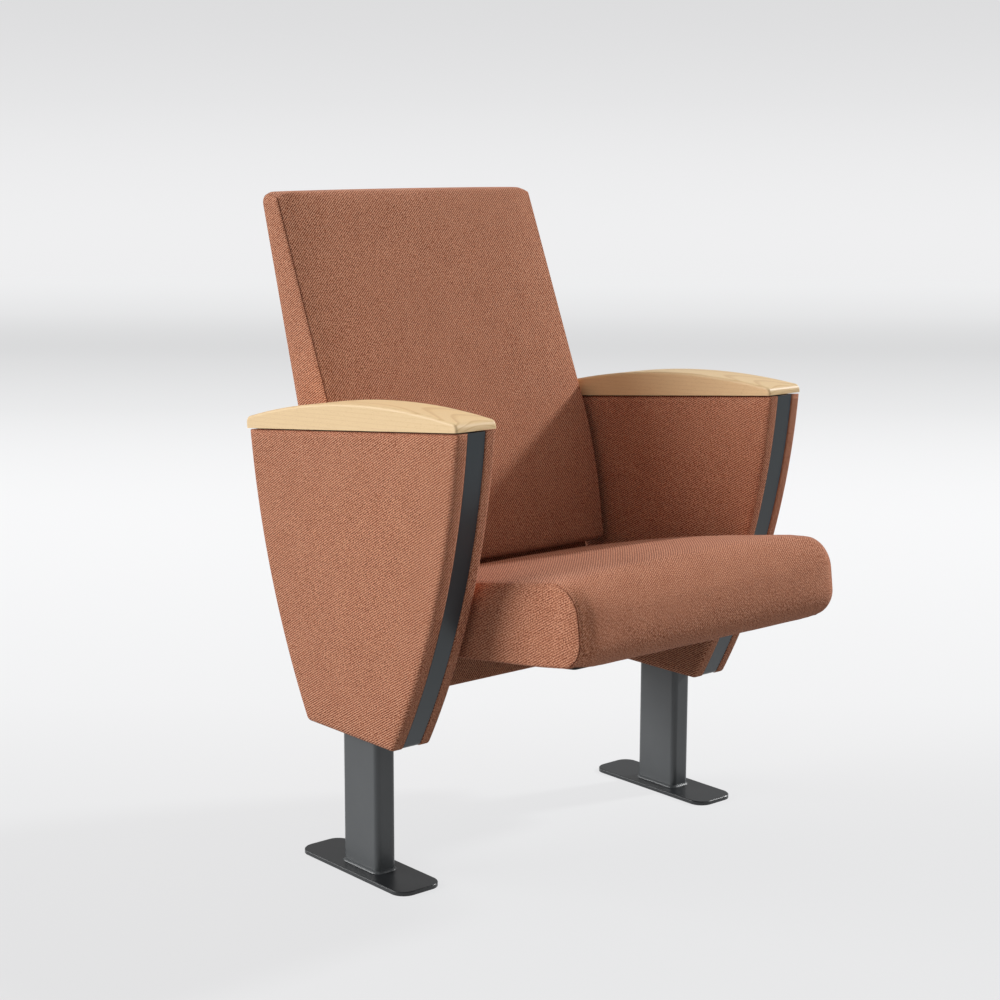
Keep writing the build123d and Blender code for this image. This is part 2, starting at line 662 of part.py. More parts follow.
def back_angle():
    """A steel angle, screwed to the board, with a weld nut behind each of its two holes."""
    z0 = BACK_MOUNT_LEVELS[0] - 36
    z1 = BACK_MOUNT_LEVELS[1] + 36
    angle = slab(back_layer(z0, z1, 54.0, BOARD_FRONT), ARM_INSIDE, ARM_OUTSIDE)
    angle += slab(back_layer(z0, z1, BOARD_FRONT + 5.0, BOARD_FRONT), 203.0, ARM_OUTSIDE)
    for y, z in back_mounts():
        angle += slab(Pos(y, z) * RegularPolygon(7.5, 6), ARM_INSIDE - 6.5, ARM_INSIDE)
        angle -= rod(ARM_INSIDE - 7, ARM_OUTSIDE, y, z, 4.1)
    return angle


PLATE_INNER = LEG_X - TUBE_WIDTH / 2 + TUBE_CORNER  # past the leg's rounded corner
BACK_PLATE_THICK = 5.0


def back_plate():
    """The steel plate inside the side panel, welded to the leg, that the back hangs from."""
    (y0, z0), (y1, z1) = back_mounts()
    weld = leg_face(1)
    points = [(weld, z0 - 45), (y0 + 14, z0 - 20), (y1 + 22, z1 - 4), (y1 + 10, z1 + 22), (weld, z1 + 5)]
    outline = rounded(points, [0.0, 14.0, 12.0, 12.0, 0.0])
    outline -= rounded([(62, z0 + 10), (105, z0 + 14), (128, z1 - 16), (62, z1 - 24)], 8.0)
    plate = slab(outline, PLATE_INNER, PLATE_INNER + BACK_PLATE_THICK)
    for y, z in back_mounts():
        plate -= rod(PLATE_INNER, PLATE_INNER + BACK_PLATE_THICK, y, z, 4.2)
    return plate


def back_spacers():
    """Two steel sleeves that hold the back off each side panel."""
    spacers = []
    for y, z in back_mounts():
        sleeve = rod(ARM_OUTSIDE, PLATE_INNER, y, z, SPACER_RADIUS)
        spacers.append(sleeve - rod(ARM_OUTSIDE, PLATE_INNER, y, z, 4.5))
    return group(spacers)


def back_bolts():
    bolts = []
    head_base = PLATE_INNER + BACK_PLATE_THICK
    for y, z in back_mounts():
        head = slab(Pos(y, z) * RegularPolygon(7.5, 6), head_base, head_base + 5.3)
        bolts.append(head + rod(ARM_INSIDE - 9, head_base, y, z, 4.0))
    return group(bolts)


def build_back():
    NODES["back_board"] = back_board()
    NODES["back_cushion"] = back_cushion()
    NODES["back_rear_panel"] = rear_panel()
    NODES["back_lower_pad"] = lower_back_pad()
    on_both_sides("back_angle", back_angle())
    on_both_sides("back_plate", back_plate())
    on_both_sides("back_spacers", back_spacers())
    on_both_sides("back_bolts", back_bolts())


# ---- write one file for each piece ------------------------------------------------------------------
build_sides()
build_hinges()
build_seat()
build_back()

os.makedirs("parts", exist_ok=True)
for name, piece in NODES.items():
    export_step(Pos(0, LEG_SETBACK, 0) * piece, f"parts/{name}.step")
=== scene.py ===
"""Tip up auditorium seat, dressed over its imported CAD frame.

Metres, in the frame's own axes: X across the seat, the sitter faces -Y, Z up, and the origin on the
floor under the middle of the seat. Left and right are the sitter's own, so right is -X, nearest the
camera. The file follows the seat as it is put together, from the floor plates up to the back.
"""

import math

import bmesh
import bpy
import numpy as np
from mathutils import Matrix, Vector


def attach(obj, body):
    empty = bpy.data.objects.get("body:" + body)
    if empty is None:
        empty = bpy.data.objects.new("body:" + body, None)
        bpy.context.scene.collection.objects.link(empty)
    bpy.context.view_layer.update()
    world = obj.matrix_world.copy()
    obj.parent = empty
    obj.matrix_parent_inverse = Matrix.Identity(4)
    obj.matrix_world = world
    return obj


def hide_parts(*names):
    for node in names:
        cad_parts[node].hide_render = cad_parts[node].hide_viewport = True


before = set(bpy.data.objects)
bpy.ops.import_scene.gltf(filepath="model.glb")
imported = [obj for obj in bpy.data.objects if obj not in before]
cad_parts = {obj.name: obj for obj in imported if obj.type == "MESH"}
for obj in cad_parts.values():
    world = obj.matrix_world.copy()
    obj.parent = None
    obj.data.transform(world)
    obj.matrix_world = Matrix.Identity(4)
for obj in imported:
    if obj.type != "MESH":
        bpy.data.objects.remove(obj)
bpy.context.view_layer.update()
MM = 0.001

# ---- camera ----------------------------------------------------------
# A long lens at about a standing person's height, in front of the seat's right side. It looks down
# a little, so that the tops of the arm caps and of the seat just show.
CAMERA_PLACE = Vector((-1.8895, -2.1122, 1.0141))
CAMERA_HEADING = math.radians(40.538)  # from +Y towards +X
CAMERA_DIP = math.radians(10.350)
CAMERA_ROLL = math.radians(0.166)
CAMERA_LENS = 72.05


def camera_turn(heading, dip, roll):
    """The camera's rotation from its heading, how far it looks down, and how far it leans."""
    ahead = Vector((
        math.sin(heading) * math.cos(dip),
        math.cos(heading) * math.cos(dip),
        -math.sin(dip),
    ))
    level = Vector((math.cos(heading), -math.sin(heading), 0.0))
    right = level * math.cos(roll) + level.cross(ahead) * math.sin(roll)
    return Matrix((right, right.cross(ahead), -ahead)).transposed()


def put_in_scene(name, data):
    """Puts a camera, a lamp or a mesh in the scene under its name."""
    thing = bpy.data.objects.new(name, data)
    bpy.context.scene.collection.objects.link(thing)
    return thing


lens = bpy.data.cameras.new("camera")
lens.lens = CAMERA_LENS
camera = put_in_scene("camera", lens)
camera.location = CAMERA_PLACE
camera.rotation_euler = camera_turn(CAMERA_HEADING, CAMERA_DIP, CAMERA_ROLL).to_euler()
bpy.context.scene.camera = camera

# ---- studio ----------------------------------------------------------
# A pale painted floor that runs into a pale haze some ten metres off. The camera sees their tone as
# light of its own, so the lamps can stay low, and the floor still takes the seat's faint shadow.
FLOOR_RADIUS = 12.0
FLOOR_PAINT = "#595A5A"
FLOOR_BOUNCE = "#9A9A9A"
TONE_RUN = (-1.0, 11.0)  # along the camera's heading, where the floor's tone starts and ends
HAZE_BAND = 0.10  # how far above and below level the haze changes its tone


def linear(hex_colour):
    """The linear colour, as Blender's sockets take it, of an sRGB hex value."""
    parts = [int(hex_colour[i:i + 2], 16) / 255 for i in (1, 3, 5)]
    return tuple(c / 12.92 if c <= 0.04045 else ((c + 0.055) / 1.055) ** 2.4 for c in parts) + (1.0,)


def plug(tree, value, socket):
    """Gives a socket a constant, or links it to another socket or to a node's first output."""
    if isinstance(value, bpy.types.Node):
        value = value.outputs[0]
    if isinstance(value, bpy.types.NodeSocket):
        tree.links.new(value, socket)
    else:
        socket.default_value = value


def add(tree, kind, settings=None, sockets=None, stops=None):
    """Adds one node with its own settings, its sockets' values or links, and a ramp's stops."""
    made = tree.nodes.new("ShaderNode" + kind)
    for name, value in (settings or {}).items():
        setattr(made, name, value)
    for socket, value in (sockets or {}).items():
        plug(tree, value, made.inputs[socket])
    if stops:
        ramp = made.color_ramp.elements
        ramp.remove(ramp[1])
        ramp[0].position = stops[0][0]
        ramp[0].color = linear(stops[0][1])
        for place, colour in stops[1:]:
            ramp.new(place).color = linear(colour)
    return made


def show_to_camera(tree, output, other_ray, unseen, seen):
    """Ends a tree with one shader for what the camera and one other kind of ray see, and one for the rest."""
    ray = add(tree, "LightPath")
    direct = add(tree, "Math", {"operation": "MAXIMUM"}, {
        0: ray.outputs["Is Camera Ray"], 1: ray.outputs[other_ray]})
    both = add(tree, "MixShader", sockets={0: direct, 1: unseen, 2: seen})
    add(tree, output, sockets={"Surface": both})


def mesh_of(name, shape):
    """Turns a bmesh into a mesh of that name, and frees it."""
    mesh = bpy.data.meshes.new(name)
    shape.to_mesh(mesh)
    shape.free()
    return mesh


def studio_floor():
    """A disc with its tone by distance, seen as light by the camera and as paint by the lamps."""
    shape = bmesh.new()
    bmesh.ops.create_circle(shape, cap_ends=True, segments=96, radius=FLOOR_RADIUS)
    floor = put_in_scene("studio_floor", mesh_of("studio_floor", shape))
    floor.rotation_euler = (0.0, 0.0, -CAMERA_HEADING)
    paint = bpy.data.materials.new("pale_floor_paint")
    paint.use_nodes = True
    tree = paint.node_tree
    tree.nodes.clear()
    place = add(tree, "TexCoord")
    depth = add(tree, "SeparateXYZ", sockets={0: place.outputs["Object"]})
    share = add(tree, "MapRange", sockets={
        "Value": depth.outputs["Y"], "From Min": TONE_RUN[0], "From Max": TONE_RUN[1]})
    tone = add(tree, "ValToRGB", sockets={"Fac": share}, stops=(
        (0.045, "#DADADB"), (0.090, "#DCDCDD"), (0.140, "#E5E5E6"), (0.285, "#EEEEEF"), (0.386, "#E6E6E7"),
        (0.466, "#DDDDDE"), (0.600, "#CCCCCD"), (0.680, "#C8C8C9"), (0.800, "#D8D8D9"), (1.000, "#E2E2E3")))
    tone.color_ramp.interpolation = "B_SPLINE"
    glow = add(tree, "Emission", sockets={"Color": tone, "Strength": 1.0})
    seen_paint = add(tree, "BsdfDiffuse", sockets={"Color": linear(FLOOR_PAINT)})
    seen = add(tree, "AddShader", sockets={0: glow, 1: seen_paint})
    unseen = add(tree, "BsdfDiffuse", sockets={"Color": linear(FLOOR_BOUNCE)})
    show_to_camera(tree, "OutputMaterial", "Is Glossy Ray", unseen, seen)
    floor.data.materials.append(paint)


def studio_haze():
    """The world: an even fill for the seat, and a paler tone where it is looked at."""
    world = bpy.data.worlds.new("studio_haze")
    bpy.context.scene.world = world
    world.use_nodes = True
    tree = world.node_tree
    tree.nodes.clear()
    way = add(tree, "TexCoord")
    rise = add(tree, "SeparateXYZ", sockets={0: way.outputs["Generated"]})
    share = add(tree, "MapRange", sockets={
        "Value": rise.outputs["Z"], "From Min": -HAZE_BAND, "From Max": HAZE_BAND})
    tone = add(tree, "ValToRGB", sockets={"Fac": share}, stops=(
        (0.00, "#EEEEEF"), (0.16, "#EEEEEF"), (0.28, "#F0F0F1"),
        (0.44, "#ECECED"), (0.58, "#E6E6E7"), (0.80, "#DCDCDD")))
    tone.color_ramp.interpolation = "B_SPLINE"
    seen = add(tree, "Background", sockets={"Color": tone, "Strength": 1.0})
    fill = add(tree, "Background", sockets={"Color": linear("#FFFFFF"), "Strength": 0.40})
    show_to_camera(tree, "OutputWorld", "Is Transmission Ray", fill, seen)


def studio_lamp(name, towards, strength, spread):
    """A far lamp. Its spread, in degrees, is how soft its shadows are."""
    lamp = bpy.data.lights.new(name, "SUN")
    lamp.energy = strength
    lamp.angle = math.radians(spread)
    put_in_scene(name, lamp).rotation_euler = Vector(towards).to_track_quat("Z", "Y").to_euler()


studio_floor()
studio_haze()
studio_lamp("window_from_the_right", (0.817, -0.228, 0.530), 2.5, 7.0)
studio_lamp("soft_box_from_the_left", (-0.7, 0.6, 0.3), 2.6, 40.0)
bpy.context.scene.view_settings.view_transform = "Standard"

# ---- legs, floor plates and edge strips ------------------------------
# Each side stands on a rectangular steel tube, welded to an oblong plate that rests on the
# floor. Bent steel strips close the front and rear edges of the side panel, held off the leg by bars.
SIDES = {"left": 1, "right": -1}
EDGE_RADIUS = 0.8  # of the paint over a sheared or sawn edge


def new_finish(name, **constants):
    """A material whose Principled shader has these constants on its own sockets."""
    material = bpy.data.materials.new(name)
    material.use_nodes = True
    tree = material.node_tree
    tree.nodes.clear()
    shader = add(tree, "BsdfPrincipled", sockets={
        socket.replace("_", " "): value for socket, value in constants.items()})
    add(tree, "OutputMaterial", sockets={"Surface": shader})
    return material, tree, shader


def set_surface(tree, shader, colour, rough, height, depth_mm, strength, normal=None):
    """Gives the shader its colour, its roughness and a relief that is depth_mm deep."""
    relief = add(tree, "Bump", sockets={
        "Height": height, "Distance": depth_mm * MM, "Strength": strength})
    if normal:
        plug(tree, normal, relief.inputs["Normal"])
    for value, socket in ((colour, "Base Color"), (rough, "Roughness"), (relief, "Normal")):
        plug(tree, value, shader.inputs[socket])


def dress(nodes, material):
    """Gives CAD nodes their finish. Their shape stays as it is."""
    for name in nodes:
        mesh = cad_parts[name].data
        mesh.materials.clear()
        mesh.materials.append(material)


def both_sides(*pieces):
    return [side + "_" + piece for side in SIDES for piece in pieces]


def powder_coat(name, colour, worn, roughness, grain_mm, relief_mm, specular):
    """Baked powder paint on steel: an even colour with a faint orange peel, so highlights are soft
    and slightly broken, and a little wear that shows as paler patches."""
    material, tree, shader = new_finish(name, IOR=1.5, Specular_IOR_Level=specular)
    place = add(tree, "TexCoord").outputs["Object"]
    peel = add(tree, "TexNoise", sockets={"Vector": place, "Scale": 1 / (grain_mm * MM), "Detail": 2.0})
    patches = add(tree, "TexNoise", sockets={"Vector": place, "Scale": 9.0, "Detail": 4.0})
    worn_share = add(tree, "MapRange", sockets={"Value": patches, "From Min": 0.35, "From Max": 0.75})
    paint = add(tree, "Mix", {"data_type": "RGBA"}, {
        "Factor": worn_share, "A": linear(colour), "B": linear(worn)})
    gloss = add(tree, "MapRange", sockets={
        "Value": patches, "To Min": roughness - 0.05, "To Max": roughness + 0.07})
    rounded = add(tree, "Bevel", {"samples": 6}, {"Radius": EDGE_RADIUS * MM})
    set_surface(tree, shader, paint.outputs["Result"], gloss,
                peel, relief_mm, 0.6, rounded)
    return material


charcoal_powder = powder_coat("charcoal_powder_coat", "#4A4D4F", "#505355", 0.34, 1.6, 0.04, 0.5)
strip_enamel = powder_coat("blue_grey_satin_enamel", "#323B40", "#363D42", 0.34, 2.4, 0.03, 0.4)
black_powder = powder_coat("black_powder_coat", "#26282A", "#2C2E30", 0.32, 1.4, 0.04, 0.5)
dress(both_sides("leg_tube", "stay_bars", "arm_bearer"), charcoal_powder)
dress(both_sides("front_strip", "rear_strip"), strip_enamel)
dress(both_sides("floor_plate"), black_powder)

# ---- weld beads ------------------------------------------------------
# Each leg is welded to its plate all round. The bead is a small concave fillet, laid in short overlapping
# steps and painted over together with the leg.
LEG_MIDDLE = (290.0, 37.0)
LEG_HALF = (17.0, 40.0)
LEG_CORNER = 8.0
PLATE_TOP = 6.0
BEAD_LEG = 3.4  # how far it reaches over the plate and up the leg
BEAD_STEP = 4.0  # from one step of weld to the next
BEAD_SUNK = (0.6, 0.4)  # into the leg and into the plate


def new_piece(name, mesh, material, body):
    """Puts a mesh in the scene as a piece that moves with a body and wears the given finish."""
    piece = put_in_scene(name, mesh)
    mesh.materials.append(material)
    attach(piece, body)
    return piece


def weld_bead(name, side):
    """A hoop of weld round the foot of a leg, as a closed loop of small sections."""
    path = []
    straight = [half - LEG_CORNER for half in LEG_HALF]
    for quarter, (x, y) in enumerate(((1, 1), (-1, 1), (-1, -1), (1, -1))):
        spot = np.array([x * straight[0], y * straight[1]])
        for turn in np.radians(np.linspace(0, 90, 7) + 90 * quarter):
            path.append((spot, np.array([math.cos(turn), math.sin(turn)])))
    stops = []
    for (spot, way), (on_spot, on_way) in zip(path, path[1:] + path[:1]):
        run = np.linalg.norm(on_spot + on_way * LEG_CORNER - spot - way * LEG_CORNER)
        for share in np.arange(0, 1, 1 / max(1, round(run))):
            stops.append((spot + (on_spot - spot) * share, way + (on_way - way) * share))
    shape = bmesh.new()
    loops = []
    travelled, last = 0.0, None
    into_leg, into_plate = BEAD_SUNK
    for spot, way in stops:
        place = spot + way * LEG_CORNER
        travelled += 0.0 if last is None else float(np.linalg.norm(place - last))
        last = place
        size = BEAD_LEG * (0.9 + 0.1 * abs(math.sin(math.pi * travelled / BEAD_STEP)))
        hollow = 0.42 * size
        section = (
            (-into_leg, -into_plate), (size, -into_plate), (size, 0.15),
            (hollow, hollow), (0.1, size), (-into_leg, size))
        loop = []
        for out, up in section:
            x, y = spot + way * (LEG_CORNER + out)
            corner = Vector((side * (LEG_MIDDLE[0] + x), LEG_MIDDLE[1] + y, PLATE_TOP + up))
            loop.append(shape.verts.new(corner * MM))
        loops.append(loop)
    for loop, on in zip(loops, loops[1:] + loops[:1]):
        for i in range(len(loop)):
            j = (i + 1) % len(loop)
            shape.faces.new((loop[i], on[i], on[j], loop[j]))
    bmesh.ops.recalc_face_normals(shape, faces=shape.faces)
    mesh = mesh_of(name, shape)
    mesh.shade_smooth()
    new_piece(name, mesh, charcoal_powder, "base")


for side_name, side in SIDES.items():
    weld_bead(side_name + "_weld_bead", side)

# ---- side panels: boards ---------------------------------------------
# Each half of a side panel is a board of thin veneers, sawn to the panel's curved outline and grooved
# for the leg. Cloth hides all but the edge of the groove.
PLY_MM = 1.5


def plywood(name, through):
    """Birch plywood: pale, fairly flat veneers, with every second one darker where the edge shows."""
    material, tree, shader = new_finish(name, IOR=1.5, Specular_IOR_Level=0.3)
    place = add(tree, "TexCoord").outputs["Object"]
    count = add(tree, "VectorMath", {"operation": "DOT_PRODUCT"}, {
        0: place, 1: Vector(through).normalized() / (2 * PLY_MM * MM)})
    half = add(tree, "Math", {"operation": "FRACT"}, {0: count.outputs["Value"]})
    dark = add(tree, "Math", {"operation": "GREATER_THAN"}, {0: half, 1: 0.5})
    along = add(tree, "VectorMath", {"operation": "MULTIPLY"}, {0: place, 1: (300.0, 300.0, 14.0)})
    grain = add(tree, "TexNoise", sockets={"Vector": along, "Scale": 1.0, "Detail": 3.0})
    pale = add(tree, "Mix", {"data_type": "RGBA"}, {
        "Factor": grain, "A": linear("#C9A878"), "B": linear("#DCC196")})
    brown = add(tree, "Mix", {"data_type": "RGBA"}, {
        "Factor": grain, "A": linear("#8E6A43"), "B": linear("#A58058")})
    wood = add(tree, "Mix", {"data_type": "RGBA"}, {
        "Factor": dark, "A": pale.outputs["Result"], "B": brown.outputs["Result"]})
    rough = add(tree, "MapRange", sockets={"Value": grain, "To Min": 0.6, "To Max": 0.8})
    set_surface(tree, shader, wood.outputs["Result"], rough, grain, 0.1, 0.5)
    return material


dress(both_sides("inner_board", "outer_board"), plywood("birch_plywood_side_board", (1, 0, 0)))

# ---- side panels: pads -----------------------------------------------
# A thin sheet of foam over each board, covered in wool twill that is pulled round the board's edge and
# stapled behind, so the face is nearly flat, its rim a soft roll, and its edge a plain band of cloth.
PANEL_MIDDLE = 40.0  # how far the side panels' middle lies behind the middle of the seat's whole depth
FLANK_RADIUS = 1100.0
FLANK_OFFSET = 858.5
FLANK_LEVEL = 740.0
PANEL_BOTTOM = 198.0
PANEL_TOP = 621.5  # at the panel's middle
PANEL_CORNER = 10.0
CAP_SLOPE = math.radians(5.6)
CORE_FACES = {"inner": 274.8, "outer": 305.2}
PAD_DEPTH = 18.4
BOARD_DEPTH = 10.4
WRAP = 3.0
RIM_ROLL = (10.0, 6.0)  # how far the soft rim reaches over the face, and over the edge
PAD_CROWN = 1.6
TWILL_PITCH = 2.95  # from rib to rib: coarser than the real cloth's, which is too fine to show
FLOAT_LENGTH = 3.4  # how far one yarn runs along its rib before it dives under
FIBRE_SCALE = 700.0  # fibres and shades of dye, in marks a metre
CLOUD_SCALE = 24.0
FACES_SIDEWAYS = 0.72  # a face with this much of its normal along X carries the sides' ribs
FACES_DOWN = -0.35  # and under a nose, past this, y grows as z falls
PIVOT = (55.0, 345.0)  # the hinge's axis
HINGE_HOLES = ((*PIVOT, 18.0), (29.0, 360.0, 7.0))  # in the inner pads, for the boss and the stop stud
SPACER_HOLES = ((180.6, 450.0, 11.5), (212.3, 562.0, 11.5))  # for the sleeves that carry the back
RIB_SLOPES = {"side": (math.radians(30.0), -1.0), "front": (math.radians(42.0), 1.0)}


def rib_ways(slope_and_way):
    """Vectors that count ribs across, and yarn floats along them, on a face seen flat."""
    slope, way = slope_and_way
    across = np.array([way * math.sin(slope), -math.cos(slope)]) / (TWILL_PITCH * MM)
    along = np.array([way * math.cos(slope), math.sin(slope)]) / (FLOAT_LENGTH * MM)
    return across, along


def wool_twill(name, stretch, ribbed=0.16, relief_mm=0.45):
    """Terracotta wool twill: flecked yarns in fine diagonal ribs, matt, with a little nap that
    lights up at grazing angles. Stretch is how much longer y + z is than the cloth itself, ribbed
    how strongly the ribs show, and relief_mm how deep the weave is."""
    material, tree, shader = new_finish(
        name, IOR=1.5, Specular_IOR_Level=0.08, Sheen_Weight=0.06, Sheen_Roughness=0.5)
    place = add(tree, "TexCoord")
    facing = add(tree, "SeparateXYZ", sockets={0: place.outputs["Normal"]})
    sideways = add(tree, "Math", {"operation": "ABSOLUTE"}, {0: facing.outputs["X"]})
    on_side = add(tree, "Math", {"operation": "GREATER_THAN"}, {0: sideways, 1: FACES_SIDEWAYS})
    below = add(tree, "Math", {"operation": "LESS_THAN"}, {0: facing.outputs["Z"], 1: FACES_DOWN})
    counts = []
    for side_way, front_way in zip(rib_ways(RIB_SLOPES["side"]), rib_ways(RIB_SLOPES["front"])):
        run = front_way[1] / stretch
        front = add(tree, "Mix", {"data_type": "VECTOR"}, {
            "Factor": below, "A": (front_way[0], run, run), "B": (front_way[0], -run, run)})
        way = add(tree, "Mix", {"data_type": "VECTOR"}, {
            "Factor": on_side, "A": front.outputs["Result"],
            "B": (0.0, side_way[0], side_way[1])})
        count = add(tree, "VectorMath", {"operation": "DOT_PRODUCT"}, {
            0: place.outputs["Object"], 1: way.outputs["Result"]})
        counts.append(count.outputs["Value"])
    yarn_place = add(tree, "CombineXYZ", sockets={"X": counts[0], "Y": counts[1]})
    fleck = add(tree, "TexNoise", sockets={
        "Vector": yarn_place, "Scale": 1.5, "Detail": 2.0, "Roughness": 0.7})
    wander = add(tree, "Math", {"operation": "MULTIPLY_ADD"}, {0: fleck, 1: 0.55, 2: counts[0]})
    turn = add(tree, "Math", {"operation": "MULTIPLY"}, {0: wander, 1: 2 * math.pi})
    rib = add(tree, "Math", {"operation": "SINE"}, {0: turn})
    fibre = add(tree, "TexNoise", sockets={
        "Vector": place.outputs["Object"], "Scale": FIBRE_SCALE, "Detail": 1.0})
    cloud = add(tree, "TexNoise", sockets={
        "Vector": place.outputs["Object"], "Scale": CLOUD_SCALE, "Detail": 3.0})
    relief = add(tree, "Math", {"operation": "MULTIPLY_ADD"}, {0: rib, 1: ribbed, 2: fleck})
    mixed = add(tree, "Math", {"operation": "MULTIPLY_ADD"}, {0: fibre, 1: 0.5, 2: relief})
    clouded = add(tree, "Math", {"operation": "MULTIPLY_ADD"}, {0: cloud, 1: 0.06, 2: mixed})
    yarn = add(tree, "MapRange", sockets={"Value": clouded, "From Min": 0.57, "From Max": 0.99})
    dye = add(tree, "ValToRGB", sockets={"Fac": yarn}, stops=(
        (0.0, "#54210F"), (0.25, "#8C5038"), (0.55, "#C08062"), (1.0, "#E2AA8C")))
    rough = add(tree, "MapRange", sockets={"Value": fibre, "To Min": 0.82, "To Max": 0.98})
    set_surface(tree, shader, dye, rough, mixed, relief_mm, 0.6)
    return material


side_twill = wool_twill("wool_twill_on_sides", 1.0)


def panel_outline(inset):
    """The panel from the side, as (y, z) points in mm: bottom, rear flank, sloping top, front flank."""
    radius = FLANK_RADIUS - inset
    bottom = PANEL_BOTTOM + inset
    corner = max(2.0, PANEL_CORNER - inset)

    def flank(z):
        return math.sqrt(radius ** 2 - (z - FLANK_LEVEL) ** 2) - FLANK_OFFSET

    def top_corner(side):
        z = PANEL_TOP
        for _ in range(20):
            z = PANEL_TOP - inset / math.cos(CAP_SLOPE) - side * flank(z) * math.tan(CAP_SLOPE)
        return z

    lean = math.asin((FLANK_LEVEL - bottom) / radius)  # the flank's lean from upright, at the bottom
    half = (math.pi / 2 + lean) / 2  # of the angle between the flank and the bottom
    reach = corner / math.tan(half)
    halves = {}
    for side in (1, -1):
        foot = flank(bottom)
        centre = (foot - reach, bottom + corner)
        turns = np.linspace(-math.pi / 2, -lean, 8)
        arc = [(centre[0] + corner * math.cos(t), centre[1] + corner * math.sin(t)) for t in turns]
        levels = np.linspace(arc[-1][1], top_corner(side), 44)[1:]
        halves[side] = [(side * y, z) for y, z in arc + [(flank(z), z) for z in levels]]
    bottom_run = np.linspace(halves[-1][0], halves[1][0], 26)[1:-1]
    top_run = np.linspace(halves[1][-1], halves[-1][-1], 34)[1:-1]
    points = np.array([*bottom_run, *halves[1], *top_run, *reversed(halves[-1])])
    return points + (PANEL_MIDDLE, 0.0)


def sheet_mesh(name, rings):
    """A closed mesh over a stack of rings of points in mm. Each end is filled by a fan."""
    count = len(rings[0])
    points = [point for ring in rings for point in ring]
    faces = []
    for row in range(len(rings) - 1):
        for i in range(count):
            j = (i + 1) % count
            faces.append((row * count + i, row * count + j, (row + 1) * count + j, (row + 1) * count + i))
    for row, order in ((0, -1), (len(rings) - 1, 1)):
        middle = len(points)
        points.append(np.mean(rings[row], axis=0))
        for i in range(count):
            fan = (middle, row * count + i, row * count + (i + 1) % count)
            faces.append(fan[::order])
    mesh = bpy.data.meshes.new(name)
    mesh.from_pydata([Vector(point) * MM for point in points], [], faces)
    shape = bmesh.new()
    shape.from_mesh(mesh)
    bmesh.ops.remove_doubles(shape, verts=shape.verts, dist=0.02 * MM)
    bmesh.ops.recalc_face_normals(shape, faces=shape.faces)
    shape.to_mesh(mesh)
    shape.free()
    mesh.shade_smooth()
    return mesh


def cut_away(piece, blocks, rounds=()):
    """Cuts out boxes, given by two corners and the frame they are in, and bars across X, given by
    (x0, x1, y, z, radius), one at a time."""
    cutters = []
    for low, high, place in blocks:
        shape = bmesh.new()
        for vert in bmesh.ops.create_cube(shape, size=1.0)["verts"]:
            vert.co = Vector(place([a + (b - a) * (c + 0.5) for a, b, c in zip(low, high, vert.co)])) * MM
        cutters.append(shape)
    for x0, x1, y, z, radius in rounds:
        shape = bmesh.new()
        turn = Matrix.Translation(Vector(((x0 + x1) / 2, y, z)) * MM) @ Matrix.Rotation(math.pi / 2, 4, "Y")
        bmesh.ops.create_cone(shape, cap_ends=True, segments=40, radius1=radius * MM, radius2=radius * MM,
                              depth=abs(x1 - x0) * MM, matrix=turn)
        cutters.append(shape)
    for shape in cutters:
        if shape.calc_volume(signed=True) < 0:
            bmesh.ops.reverse_faces(shape, faces=shape.faces)
        cutter = put_in_scene("cutter", mesh_of("cutter", shape))
        cut = piece.modifiers.new("cut", "BOOLEAN")
        cut.operation = "DIFFERENCE"
        cut.solver = "EXACT"
        cut.object = cutter
        done = bpy.data.meshes.new_from_object(piece.evaluated_get(bpy.context.evaluated_depsgraph_get()))
        piece.modifiers.clear()
        piece.data = done
        bpy.data.objects.remove(cutter)
    piece.data.shade_smooth()
    piece.data.set_sharp_from_angle(angle=math.radians(50))


def pad_rings(side, half):
    """Rings round the pad from the hollow that holds its board, over its rim, to its middle."""
    way = 1 if half == "outer" else -1
    over, down = RIM_ROLL
    steps = [(WRAP, BOARD_DEPTH), (WRAP, 0.0), (0.7, 0.0), (0.0, 0.7), (0.0, 3.5), (0.0, 7.0)]
    for turn in np.radians(np.linspace(0.0, 90.0, 8)):
        steps.append((over * (1 - math.cos(turn)), PAD_DEPTH - down * (1 - math.sin(turn))))
    rings = []
    for inset, depth in steps:
        x = side * (CORE_FACES[half] + way * depth)
        rings.append([(x, y, z) for y, z in panel_outline(inset)])
    rim = panel_outline(over)
    middle = rim.mean(axis=0)
    for share in (0.96, 0.9, 0.82, 0.72, 0.6, 0.46, 0.3, 0.14):
        x = side * (CORE_FACES[half] + way * (PAD_DEPTH + PAD_CROWN * (1 - share ** 3)))
        rings.append([(x, y, z) for y, z in middle + (rim - middle) * share])
    return rings


for side_name, side in SIDES.items():
    for half in ("inner", "outer"):
        name = f"{side_name}_{half}_pad"
        mesh = sheet_mesh(name + "_cloth", pad_rings(side, half))
        pad = new_piece(name + "_cloth", mesh, side_twill, "base")
        if half == "inner":
            through = sorted((side * (CORE_FACES[half] - PAD_DEPTH - 6), side * (CORE_FACES[half] + 2)))
            cut_away(pad, [], [(*through, *hole) for hole in HINGE_HOLES + SPACER_HOLES])
        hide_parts(name)

# ---- arm caps --------------------------------------------------------
# One solid piece of beech on each side, planed flat below, sawn to a long arch above, its edges sanded
# round, then clear lacquered. It is held by wood screws that come up through the sloping steel bearer.
RING_MM = 5.5  # between growth rings, close to a slow-grown beech
HEART_DEPTH = 74.0  # how far below the cap's middle the tree's heart ran
HEART_CLIMB = 0.05  # and how it rises towards the front
FLECK_MM = (0.7, 3.2)  # beech's short brown rays, across and along the grain
CAP_MIDDLE = 638.0
CAP_OUT = 283.0  # from the middle of the seat to the middle of a cap
# The rings are painted fainter on the sides than on the top. This is painted light: it copies the way light
# washes them out on a lit side.
RING_SHOWN_TOP_AND_WASHED_SIDES = (0.40, 0.12)  # how strongly rings show on the top, and on the sides


